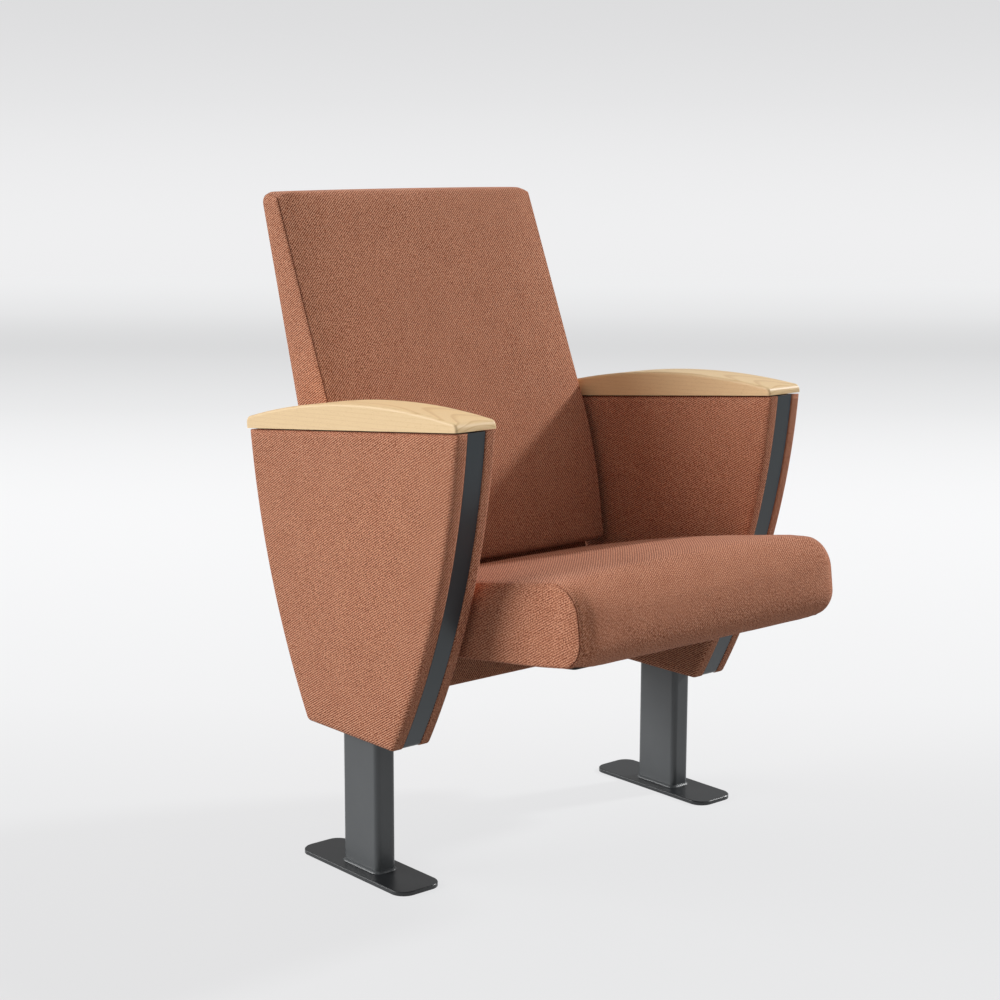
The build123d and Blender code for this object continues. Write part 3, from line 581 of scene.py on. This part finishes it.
def lacquered_beech(name):
    """Flat-sawn beech under satin lacquer: pale cream, with fine rings that run as long lines on the
    sides and as arches where the top slopes through them, and a soft coat over all."""
    material, tree, shader = new_finish(
        name, IOR=1.5, Specular_IOR_Level=0.3, Coat_Weight=0.1, Coat_Roughness=0.3)
    frames = add(tree, "TexCoord")
    place = add(tree, "SeparateXYZ", sockets={0: frames.outputs["Object"]})
    across = add(tree, "Math", {"operation": "ABSOLUTE"}, {0: place.outputs["X"]})
    off = add(tree, "Math", {"operation": "SUBTRACT"}, {0: across, 1: CAP_OUT * MM})
    climb = add(tree, "Math", {"operation": "MULTIPLY_ADD"}, {
        0: place.outputs["Y"], 1: HEART_CLIMB, 2: -(CAP_MIDDLE - HEART_DEPTH) * MM})
    over = add(tree, "Math", {"operation": "ADD"}, {0: place.outputs["Z"], 1: climb})
    spot = add(tree, "CombineXYZ", sockets={"X": off, "Y": place.outputs["Y"], "Z": over})
    slow = add(tree, "VectorMath", {"operation": "MULTIPLY"}, {0: spot, 1: (22.0, 3.0, 22.0)})
    sway = add(tree, "TexNoise", sockets={"Vector": slow, "Scale": 1.0, "Detail": 2.0})
    flat = add(tree, "VectorMath", {"operation": "MULTIPLY"}, {0: spot, 1: (1.0, 0.0, 1.0)})
    radius = add(tree, "VectorMath", {"operation": "LENGTH"}, {0: flat})
    swayed = add(tree, "Math", {"operation": "MULTIPLY_ADD"}, {
        0: sway, 1: 6 * MM, 2: radius.outputs["Value"]})
    count = add(tree, "Math", {"operation": "DIVIDE"}, {0: swayed, 1: RING_MM * MM})
    part = add(tree, "Math", {"operation": "FRACT"}, {0: count})
    late = add(tree, "MapRange", {"interpolation_type": "SMOOTHSTEP"}, {
        "Value": part, "From Min": 0.66, "From Max": 0.97})
    early = add(tree, "MapRange", {"interpolation_type": "SMOOTHSTEP"}, {
        "Value": part, "From Min": 0.0, "From Max": 0.10, "To Min": 1.0, "To Max": 0.0})
    ring = add(tree, "Math", {"operation": "MAXIMUM"}, {0: late, 1: early})
    fine_way, long_way = (1 / (size * MM) for size in FLECK_MM)
    fine = add(tree, "VectorMath", {"operation": "MULTIPLY"}, {
        0: spot, 1: (fine_way, long_way / 6, fine_way)})
    fibre = add(tree, "TexNoise", sockets={"Vector": fine, "Scale": 1.0, "Detail": 2.0})
    short = add(tree, "VectorMath", {"operation": "MULTIPLY"}, {
        0: spot, 1: (fine_way, long_way, fine_way)})
    rays = add(tree, "TexNoise", sockets={"Vector": short, "Scale": 1.0, "Detail": 0.0})
    ray = add(tree, "MapRange", sockets={
        "Value": rays, "From Min": 0.66, "From Max": 0.76, "To Max": 0.2})
    base = add(tree, "Mix", {"data_type": "RGBA"}, {
        "Factor": fibre, "A": linear("#EAC998"), "B": linear("#F2D4A6")})
    facing = add(tree, "SeparateXYZ", sockets={0: frames.outputs["Normal"]})
    sideways = add(tree, "Math", {"operation": "ABSOLUTE"}, {0: facing.outputs["X"]})
    # Painted light: the rings fade on faces that look sideways, as if light washed them out there.
    ring_shown_washed_sides = add(tree, "MapRange", sockets={
        "Value": sideways, "From Min": 0.3, "From Max": 0.9,
        "To Min": RING_SHOWN_TOP_AND_WASHED_SIDES[0], "To Max": RING_SHOWN_TOP_AND_WASHED_SIDES[1]})
    ringed = add(tree, "Math", {"operation": "MULTIPLY"}, {0: ring, 1: ring_shown_washed_sides})
    darker = add(tree, "Mix", {"data_type": "RGBA"}, {
        "Factor": ringed, "A": base.outputs["Result"], "B": linear("#C89C64")})
    wood = add(tree, "Mix", {"data_type": "RGBA"}, {
        "Factor": ray, "A": darker.outputs["Result"], "B": linear("#B98D5C")})
    rough = add(tree, "MapRange", sockets={"Value": fibre, "To Min": 0.38, "To Max": 0.52})
    set_surface(tree, shader, wood.outputs["Result"], rough, fibre, 0.05, 0.4)
    return material


def bright_metal(name, colour, dull, roughness, streak):
    """Bare or plated metal: an even sheen with fine streaks or crystals that break it up. Streak is
    how many times a mark fits in a metre along X, Y and Z."""
    material, tree, shader = new_finish(name, Metallic=1.0)
    place = add(tree, "TexCoord").outputs["Object"]
    drawn = add(tree, "VectorMath", {"operation": "MULTIPLY"}, {0: place, 1: streak})
    mark = add(tree, "TexNoise", sockets={"Vector": drawn, "Scale": 1.0, "Detail": 3.0})
    tint = add(tree, "Mix", {"data_type": "RGBA"}, {
        "Factor": mark, "A": linear(colour), "B": linear(dull)})
    rough = add(tree, "MapRange", sockets={
        "Value": mark, "To Min": roughness - 0.08, "To Max": roughness + 0.10})
    set_surface(tree, shader, tint.outputs["Result"], rough, mark, 0.02, 0.5)
    return material


zinc_plate = bright_metal("bright_zinc_plate", "#C4C7CB", "#A9ADB0", 0.34, (900.0, 900.0, 900.0))
dress(both_sides("arm_cap"), lacquered_beech("lacquered_beech"))
dress(both_sides("arm_cap_screws"), zinc_plate)

# ---- hinges ----------------------------------------------------------
# A cast bracket, screwed to each leg, carries the steel pin that the seat turns on, and a stud with a
# rubber sleeve that stops it. The seat's pressed steel arm turns on the pin in a flanged nylon bush, and a
# torsion spring of oiled wire round the arm's hub lifts the seat.
def plain_polymer(name, colour, roughness, grain_mm, **constants):
    """Moulded nylon or rubber: one colour all through, dull, with the mould's fine spark texture."""
    material, tree, shader = new_finish(name, **constants)
    place = add(tree, "TexCoord").outputs["Object"]
    spark = add(tree, "TexNoise", sockets={
        "Vector": place, "Scale": 1 / (grain_mm * MM), "Detail": 2.0})
    tint = add(tree, "Mix", {"data_type": "RGBA"}, {
        "Factor": spark, "A": linear(colour),
        "B": tuple(0.8 * c for c in linear(colour)[:3]) + (1.0,)})
    rough = add(tree, "MapRange", sockets={
        "Value": spark, "To Min": roughness - 0.06, "To Max": roughness + 0.06})
    set_surface(tree, shader, tint.outputs["Result"], rough, spark, 0.04, 0.5)
    return material


dress(both_sides("hinge_bracket", "seat_arm"), black_powder)
dress(both_sides("hinge_bracket_screws", "retaining_ring"), zinc_plate)
dress(both_sides("pivot_pin"), bright_metal(
    "ground_steel_pin", "#B9BBBE", "#9EA1A4", 0.24, (2600.0, 160.0, 160.0)))
dress(both_sides("return_spring"), bright_metal(
    "oiled_spring_steel", "#6E6F70", "#55524D", 0.38, (500.0, 1500.0, 500.0)))
dress(both_sides("hinge_bush"), plain_polymer(
    "moulded_nylon", "#DAD7CC", 0.45, 0.8, IOR=1.53, Subsurface_Weight=0.05, Subsurface_Scale=0.002))
dress(both_sides("stop_buffer"), plain_polymer("black_rubber", "#232324", 0.72, 0.6, IOR=1.52))

# ---- seat: board and frame -------------------------------------------
# Two steel tubes, welded between the seat arms and powder coated, carry a plywood board with four screws.
# The board stays bare, since the cushion sits on it and a cover closes the hollow below.
SEAT_PITCH = math.radians(7.2)
dress(["seat_rear_cross_tube", "seat_front_cross_tube"], black_powder)
dress(["seat_screws"], zinc_plate)
dress(["seat_board"], plywood(
    "birch_plywood_seat_board", (0, math.sin(SEAT_PITCH), math.cos(SEAT_PITCH))))

# ---- seat: cushion ---------------------------------------------------
# A moulded foam wedge with a full round nose, under one panel of cloth that runs from the rear over the
# top and round the nose. Its sides are separate gussets, sewn on along a seam that shows at the nose and
# fades into a soft fold along the top.
SEAT_HALF_WIDTH = 242.0
SEAT_REAR = 60.0
SEAT_NOSE = 406.0
SEAT_UNDERSIDE = -41.0
SEAT_REAR_TOP = 44.0
SEAT_MID_TOP = 65.0
SEAT_NOSE_TOP = 72.0
SEAT_CORNER = 20.0  # seen from above, at each end of the nose
SEAT_FOLD = 15.0  # radius of the soft fold along the top
SEAT_SEAM_ROLL = 5.0  # radius of the cloth's roll into the seam, at the nose
SEAM_DEPTH = 2.2
SEAM_SPREAD = 7.0  # how many degrees of that roll the seam draws in
EDGE_STATION = 5.0  # the outermost section is taken this far in from the side
SEAT_VALLEY = 2.5  # how far the panel sinks towards the seam
VALLEY_REACH = 13.0  # how far from a seam the cushion has risen to its full height
GUSSET_SWELL = 3.5
SEAT_SPINE = ((-352.0, 16.0), (36.0, 2.0))  # the middle line of a gusset, from nose to rear
SEAT_RECESS = (-375.0, 50.0)  # front and rear of the hollow for the board
SEAT_INNER_HALF = 234.0
SEAT_BOARD_TOP = 4.0
SWELL_PRESSURE = 4.0
SWELL_FRAMES = 20
SEAT_SWELL = 4.0  # the most that the cloth stands off the moulded foam
SEWN_BELOW = 318.0  # the cloth is stapled from here down
ARM_SPACE = (219.0, -58.0, 38.0)  # inner side, front and top of the room for each seat arm's head
HINGE_NOTCH = 37.0
NOTCH_START = 226.0


def ridge(half_width, x):
    """1 in the middle of a cushion, falling along an ellipse to 0 at its side."""
    return math.sqrt(max(0.0, 1 - (x / half_width) ** 2))


def corner_inset(half_width, x, radius):
    """How far a rounded corner of this radius draws an edge in, at x."""
    into = max(0.0, radius - (half_width - abs(x)))
    return radius - math.sqrt(max(0.0, radius ** 2 - into ** 2))


def rounded_outline(corners, radii, arcs, runs):
    """A closed (y, z) outline with arcs at its corners, cut into the same steps at every station."""
    corners = np.array(corners, float)
    pieces = []
    for i, corner in enumerate(corners):
        back = corners[i - 1] - corner
        on = corners[(i + 1) % len(corners)] - corner
        back /= np.linalg.norm(back)
        on /= np.linalg.norm(on)
        half = math.acos(np.clip(back @ on, -1, 1)) / 2
        centre = corner + (back + on) / np.linalg.norm(back + on) * radii[i] / math.sin(half)
        first = corner + back * radii[i] / math.tan(half) - centre
        last = corner + on * radii[i] / math.tan(half) - centre
        start = math.atan2(first[1], first[0])
        sweep = (math.atan2(last[1], last[0]) - start + math.pi) % (2 * math.pi) - math.pi
        turns = start + sweep * np.linspace(0, 1, arcs[i] + 1)
        pieces.append(centre + radii[i] * np.stack([np.cos(turns), np.sin(turns)], axis=1))
    outline = []
    for i, arc in enumerate(pieces):
        outline.append(arc)
        shares = np.linspace(0, 1, runs[i] + 2)[1:-1, None]
        outline.append(arc[-1] + (pieces[(i + 1) % len(pieces)][0] - arc[-1]) * shares)
    return np.concatenate(outline)


def seat_section(x):
    """The seat in side view, in its own frame: rear, top, nose and underside."""
    crown = ridge(SEAT_HALF_WIDTH, x)
    nose = -SEAT_NOSE - 3.0 * crown + corner_inset(SEAT_HALF_WIDTH, x, SEAT_CORNER)
    corners = [
        (SEAT_REAR, SEAT_UNDERSIDE),
        (SEAT_REAR, SEAT_REAR_TOP + 3.0 * crown),
        (-180.0, SEAT_MID_TOP + 9.0 * crown),
        (nose, SEAT_NOSE_TOP + 6.0 * crown),
        (nose, SEAT_UNDERSIDE),
    ]
    radii = [6.0, 18.0, 1400.0, 46.0, 38.0]
    return rounded_outline(corners, radii, [4, 7, 16, 16, 14], [7, 6, 8, 4, 34])


def inward_ways(outline):
    """Unit vectors into the shape at each point of a closed outline."""
    along = np.roll(outline, -1, axis=0) - np.roll(outline, 1, axis=0)
    ways = np.stack([-along[:, 1], along[:, 0]], axis=1)
    ways /= np.linalg.norm(ways, axis=1, keepdims=True)
    y, z = outline.T
    area = np.sum(y * np.roll(z, -1) - np.roll(y, -1) * z)
    return ways * math.copysign(1.0, area)


def nearest_on(spine, points):
    """The points of a straight spine nearest to each of these."""
    start, end = np.array(spine, float)
    share = np.clip((points - start) @ (end - start) / ((end - start) @ (end - start)), 0, 1)
    return start + share[:, None] * (end - start)


def sewn_rings(section, half_width, roll, seam, valley, swell, spine):
    """Rings across a boxed cushion from one gusset's middle to the other's. At each point of the outline,
    roll is the radius of the cloth's turn into the gusset, seam how deep the seam is pulled in, and
    valley how far the panel sinks towards it."""
    side = half_width - EDGE_STATION
    base = section(side)
    ways = inward_ways(base)
    right = []
    for share in (0.92, 0.8, 0.64, 0.48, 0.34, 0.22, 0.13, 0.06):
        inset = base + ways * (roll + 1.0)[:, None]
        outline = inset + (nearest_on(spine, inset) - inset) * share
        bulge = swell * (1 - (1 - share) ** 2.6)
        right.append((np.full(len(base), half_width) + bulge, outline))
    for turn in np.radians((90.0, 80.0, 68.0, 58.0, 50.0, 45.0, 40.0, 32.0, 22.0, 10.0)):
        pulled = seam * math.exp(-((math.degrees(turn) - 45.0) / SEAM_SPREAD) ** 2)
        x = half_width - roll + roll * math.sin(turn) - pulled * math.sin(turn)
        inward = roll * (1 - math.cos(turn)) + pulled * math.cos(turn) + valley
        right.append((x, base + ways * inward[:, None]))
    over_top = (1.0, 0.992, 0.98, 0.966, 0.95, 0.93, 0.905, 0.86, 0.78, 0.68, 0.56, 0.42, 0.28, 0.14)
    for share in over_top:
        sunk = valley * math.exp(-(half_width * (1 - share) / VALLEY_REACH) ** 2)
        outline = section(side * share)
        right.append(((half_width - roll) * share, outline + inward_ways(outline) * sunk[:, None]))
    rings = [np.column_stack([x, outline]) for x, outline in right]
    middle = section(0.0)
    left = [ring * (-1.0, 1.0, 1.0) for ring in reversed(rings)]
    return rings + [np.column_stack([np.zeros(len(middle)), middle])] + left


def seat_to_row(point):
    """From the seat's own frame, whose origin is the hinge, to the frame the row stands in."""
    x, y, z = point
    cosine, sine = math.cos(SEAT_PITCH), math.sin(SEAT_PITCH)
    return x, PIVOT[0] + y * cosine + z * sine, PIVOT[1] - y * sine + z * cosine


def swell_over_foam(piece, held, most):
    """Lets the cloth swell over its foam. Points where held is true stay put, and none of the others
    moves further than most mm."""
    mesh = piece.data
    rest = np.empty(len(mesh.vertices) * 3)
    mesh.vertices.foreach_get("co", rest)
    sewn = piece.vertex_groups.new(name="sewn")
    sewn.add([int(i) for i in np.flatnonzero(held(*(rest.reshape(-1, 3) / MM).T))], 1.0, "ADD")
    cloth = piece.modifiers.new("cloth", "CLOTH")
    cloth.settings.use_pressure = True
    cloth.settings.uniform_pressure_force = SWELL_PRESSURE
    cloth.settings.vertex_group_mass = "sewn"
    cloth.settings.effector_weights.gravity = 0.0
    cloth.point_cache.frame_start = 1
    cloth.point_cache.frame_end = SWELL_FRAMES
    for step in range(1, SWELL_FRAMES + 1):
        bpy.context.scene.frame_set(step)
    swollen = piece.evaluated_get(bpy.context.evaluated_depsgraph_get()).to_mesh()
    moved = np.empty_like(rest)
    swollen.vertices.foreach_get("co", moved)
    piece.modifiers.clear()
    piece.vertex_groups.clear()
    bpy.context.scene.frame_set(1)
    move = (moved - rest).reshape(-1, 3) / MM
    length = np.linalg.norm(move, axis=1, keepdims=True)
    mesh.vertices.foreach_set("co", rest + (move * most / (most + length)).ravel() * MM)
    mesh.update()


seat_twill = wool_twill("wool_twill_on_seat", 1.0, 0.10, 0.18)
seat_base = seat_section(SEAT_HALF_WIDTH)
at_nose = np.clip((-300.0 - seat_base[:, 0]) / 70.0, 0, 1)
below = np.clip((20.0 - seat_base[:, 1]) / 30.0, 0, 1)
sharp = np.maximum(at_nose, below)
seat_rings = sewn_rings(
    seat_section, SEAT_HALF_WIDTH, SEAT_FOLD + (SEAT_SEAM_ROLL - SEAT_FOLD) * sharp,
    SEAM_DEPTH * at_nose, SEAT_VALLEY * at_nose, GUSSET_SWELL, SEAT_SPINE)
seat_mesh = sheet_mesh("seat_cushion_cloth", [[seat_to_row(p) for p in ring] for ring in seat_rings])
seat = new_piece("seat_cushion_cloth", seat_mesh, seat_twill, "seat")
swell_over_foam(
    seat, lambda x, y, z: (np.abs(x) > SEAT_HALF_WIDTH - SEAT_SEAM_ROLL) | (z < SEWN_BELOW), SEAT_SWELL)
arm_blocks = []
for side in SIDES.values():
    low, high = sorted((side * ARM_SPACE[0], side * SEAT_INNER_HALF))
    arm_blocks.append((
        (low, ARM_SPACE[1], SEAT_UNDERSIDE - 20), (high, SEAT_RECESS[1], ARM_SPACE[2]), seat_to_row))
    low, high = sorted((side * NOTCH_START, side * (SEAT_HALF_WIDTH + 12)))
    arm_blocks.append(((low, -HINGE_NOTCH, -60.0), (high, HINGE_NOTCH, 0.0), seat_to_row))
recess = ((-SEAT_INNER_HALF, SEAT_RECESS[0], SEAT_UNDERSIDE - 20),
          (SEAT_INNER_HALF, SEAT_RECESS[1], SEAT_BOARD_TOP), seat_to_row)
notches = [
    (side * NOTCH_START, side * (SEAT_HALF_WIDTH + 12), *PIVOT, HINGE_NOTCH) for side in SIDES.values()]
cut_away(seat, [recess, *arm_blocks], notches)
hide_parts("seat_cushion")

# ---- seat: underside cover -------------------------------------------
# A thin hardboard sheet, wrapped in black non-woven lining and stapled on its hidden side, closes the
# hollow under the seat. It faces the hall when the seat is tipped up.
COVER_GAP = 0.8
COVER_FACES = (35.0, 41.0)  # below the hinge's level: hidden, and seen


def nonwoven_lining(name):
    """Black non-woven lining: short matted fibres with no direction, quite matt, faintly cloudy."""
    material, tree, shader = new_finish(
        name, IOR=1.5, Specular_IOR_Level=0.1, Sheen_Weight=0.15, Sheen_Roughness=0.6)
    place = add(tree, "TexCoord").outputs["Object"]
    mat = add(tree, "TexNoise", sockets={
        "Vector": place, "Scale": 420.0, "Detail": 4.0, "Distortion": 1.5})
    cloud = add(tree, "TexNoise", sockets={"Vector": place, "Scale": 30.0, "Detail": 3.0})
    both = add(tree, "Math", {"operation": "MULTIPLY_ADD"}, {0: cloud, 1: 0.3, 2: mat})
    tint = add(tree, "MapRange", sockets={"Value": both, "From Min": 0.4, "From Max": 0.9})
    dye = add(tree, "Mix", {"data_type": "RGBA"}, {
        "Factor": tint, "A": linear("#232220"), "B": linear("#4A4743")})
    rough = add(tree, "MapRange", sockets={"Value": mat, "To Min": 0.85, "To Max": 0.98})
    set_surface(tree, shader, dye.outputs["Result"], rough, mat, 0.4, 0.6)
    return material


def padded_sheet(place, half_width, low, high, near, far, roll, swell, corner):
    """Rings round a thin covered sheet from its hidden face to the middle of its other face. Place
    takes (across, depth, along) to the frame the row stands in."""
    def rim(inset):
        across, up = half_width - inset, (high - low) / 2 - inset
        radius = max(0.5, corner - inset)
        corners = [(-across, -up), (across, -up), (across, up), (-across, up)]
        return rounded_outline(corners, [radius] * 4, [6] * 4, [34, 40, 34, 40]) + (0.0, (low + high) / 2)

    way = math.copysign(1.0, far - near)
    steps = [(1.5, near), (0.4, near + 0.3 * way), (0.0, near + 1.2 * way)]
    for turn in np.radians(np.linspace(0, 90, 7)):
        steps.append((roll * (1 - math.cos(turn)), far - roll * way * (1 - math.sin(turn))))
    rings = [[place((x, depth, up)) for x, up in rim(inset)] for inset, depth in steps]
    last = rim(roll)
    middle = last.mean(axis=0)
    for share in (0.985, 0.96, 0.92, 0.85, 0.75, 0.62, 0.48, 0.32, 0.16):
        depth = far + way * swell * (1 - share ** 4)
        rings.append([place((x, depth, up)) for x, up in middle + (last - middle) * share])
    return rings


def under_seat(point):
    """From (x, how far below the hinge's level, y), all in the seat's own frame."""
    x, below, y = point
    return seat_to_row((x, y, -below))


cover = new_piece("seat_underside_cover_lining", sheet_mesh("seat_underside_cover_lining", padded_sheet(
    under_seat, SEAT_INNER_HALF - COVER_GAP, SEAT_RECESS[0] + COVER_GAP, SEAT_RECESS[1] - COVER_GAP,
    *COVER_FACES, 2.0, 0.0, 6.0)), nonwoven_lining("black_nonwoven_lining"), "seat")
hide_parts("seat_underside_cover")

# ---- back: board and fixings -----------------------------------------
# A plywood board, hung from the side panels: on each side a steel angle is screwed to it, and two bolts
# through steel sleeves pull the angle to a plate that is welded to the leg.
BACK_LEAN = math.radians(15.77)
dress(["back_board"], plywood(
    "birch_plywood_back_board", (0, math.cos(BACK_LEAN), -math.sin(BACK_LEAN))))
dress(both_sides("back_angle", "back_plate", "back_spacers"), charcoal_powder)
dress(both_sides("back_bolts"), zinc_plate)

# ---- back: cushion ---------------------------------------------------
# Foam on the front of a plywood board, thick at the waist and thin at the top. The cloth's front panel
# meets the side gussets in a plain seam that is pulled tight, so that the front swells up from a crease.
BACK_REAR_AT_600 = 260.4
BACK_HALF_WIDTH = 242.0
BACK_TOP = 931.0
BACK_BOTTOM = 389.0
BACK_INNER_HALF = 234.5
BACK_SEAM_ROLL = 4.5
BACK_VALLEY = 3.2
BACK_SWELL = 3.0
BACK_SEWN_DEPTH = 30.0  # in front of the rear face, where the cloth is stapled to the board
BACK_WAIST = (123.5, 147.0, 537.5)  # y of the front at the bottom and at the bend, and the bend's level
BACK_RISE = 0.4165  # how fast the front leans back above the bend
BACK_SPINE = ((175.0, 425.0), (318.8, 886.0))
BOARD_FRONT = 17.0
BACK_MOUNT_LEVELS = (450.0, 562.0)
MOUNT_POCKET = (200.0, 233.0, 58.0)  # inner and outer side, and front, of the room for each angle
MOUNT_REACH = 42.0  # of that room below the lower bolt and above the upper one
CAP_ROOM = 16.0  # of cushion left above the board


def back_line(z):
    """y of the back's straight rear face at height z."""
    return BACK_REAR_AT_600 + (z - 600.0) * math.tan(BACK_LEAN)


def along_back(point):
    """From (x, distance in front of the rear face, height of that spot on the rear face)."""
    x, depth, z = point
    return x, back_line(z) - depth * math.cos(BACK_LEAN), z + depth * math.sin(BACK_LEAN)


def back_section(x):
    """The back cushion in side view: front, top and rear."""
    crown = ridge(BACK_HALF_WIDTH, x)
    top = BACK_TOP + 2.0 * crown - corner_inset(BACK_HALF_WIDTH, x, 12.0)
    low, bend, level = BACK_WAIST
    corners = [
        (low - 7.0 * crown, BACK_BOTTOM),
        (bend - 7.0 * crown, level),
        (bend - 7.0 * crown + BACK_RISE * (top - level), top),
        (back_line(top), top),
        (back_line(BACK_BOTTOM), BACK_BOTTOM),
    ]
    radii = [9.0, 700.0, 9.0, 13.0, 9.0]
    return rounded_outline(corners, radii, [7, 12, 8, 9, 6], [6, 30, 4, 46, 12])


back_twill = wool_twill("wool_twill_on_back", 1.3)
back_base = back_section(BACK_HALF_WIDTH)
in_front = np.clip((back_line(back_base[:, 1]) - 26.0 - back_base[:, 0]) / 14.0, 0, 1)
back_rings = sewn_rings(
    back_section, BACK_HALF_WIDTH, np.full(len(back_base), BACK_SEAM_ROLL),
    SEAM_DEPTH * in_front, BACK_VALLEY * in_front, 1.5, BACK_SPINE)
back_mesh = sheet_mesh("back_cushion_cloth", back_rings)
back = new_piece("back_cushion_cloth", back_mesh, back_twill, "base")
swell_over_foam(back, lambda x, y, z: (np.abs(x) > BACK_HALF_WIDTH - BACK_SEAM_ROLL) | (
    y > back_line(z) - BACK_SEWN_DEPTH), BACK_SWELL)
board_room = (
    (-BACK_INNER_HALF, -30.0, BACK_BOTTOM - 60),
    (BACK_INNER_HALF, BOARD_FRONT, BACK_TOP - CAP_ROOM), along_back)
pockets = []
for side in SIDES.values():
    low, high = sorted((side * MOUNT_POCKET[0], side * MOUNT_POCKET[1]))
    pockets.append((
        (low, BOARD_FRONT - 1, BACK_MOUNT_LEVELS[0] - MOUNT_REACH),
        (high, MOUNT_POCKET[2], BACK_MOUNT_LEVELS[1] + MOUNT_REACH), along_back))
cut_away(back, [board_room, *pockets])
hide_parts("back_cushion")

# ---- back: rear panel and lower pad ----------------------------------
# A thin board, covered all over in the same cloth, closes the back from behind. A second one, lightly
# padded, closes it below the cushion, where it shows when the seat is tipped up.
REAR_PANEL = (233.0, 203.0, 912.0)  # half width, and the levels of its bottom and its top
REAR_PANEL_DEPTH = (5.0, -4.0)  # hidden face and outer face, in front of the back's rear face
LOWER_PAD = (246.0, 200.0, 384.0)
LOWER_PAD_DEPTH = (2.0, BOARD_FRONT + 6.0)

rear = new_piece("back_rear_panel_cloth", sheet_mesh("back_rear_panel_cloth", padded_sheet(
    along_back, *REAR_PANEL, *REAR_PANEL_DEPTH, 3.5, 1.5, 10.0)), back_twill, "base")
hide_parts("back_rear_panel")
lower = new_piece("back_lower_pad_cloth", sheet_mesh("back_lower_pad_cloth", padded_sheet(
    along_back, *LOWER_PAD, *LOWER_PAD_DEPTH, 3.5, 2.5, 8.0)), back_twill, "base")
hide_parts("back_lower_pad")
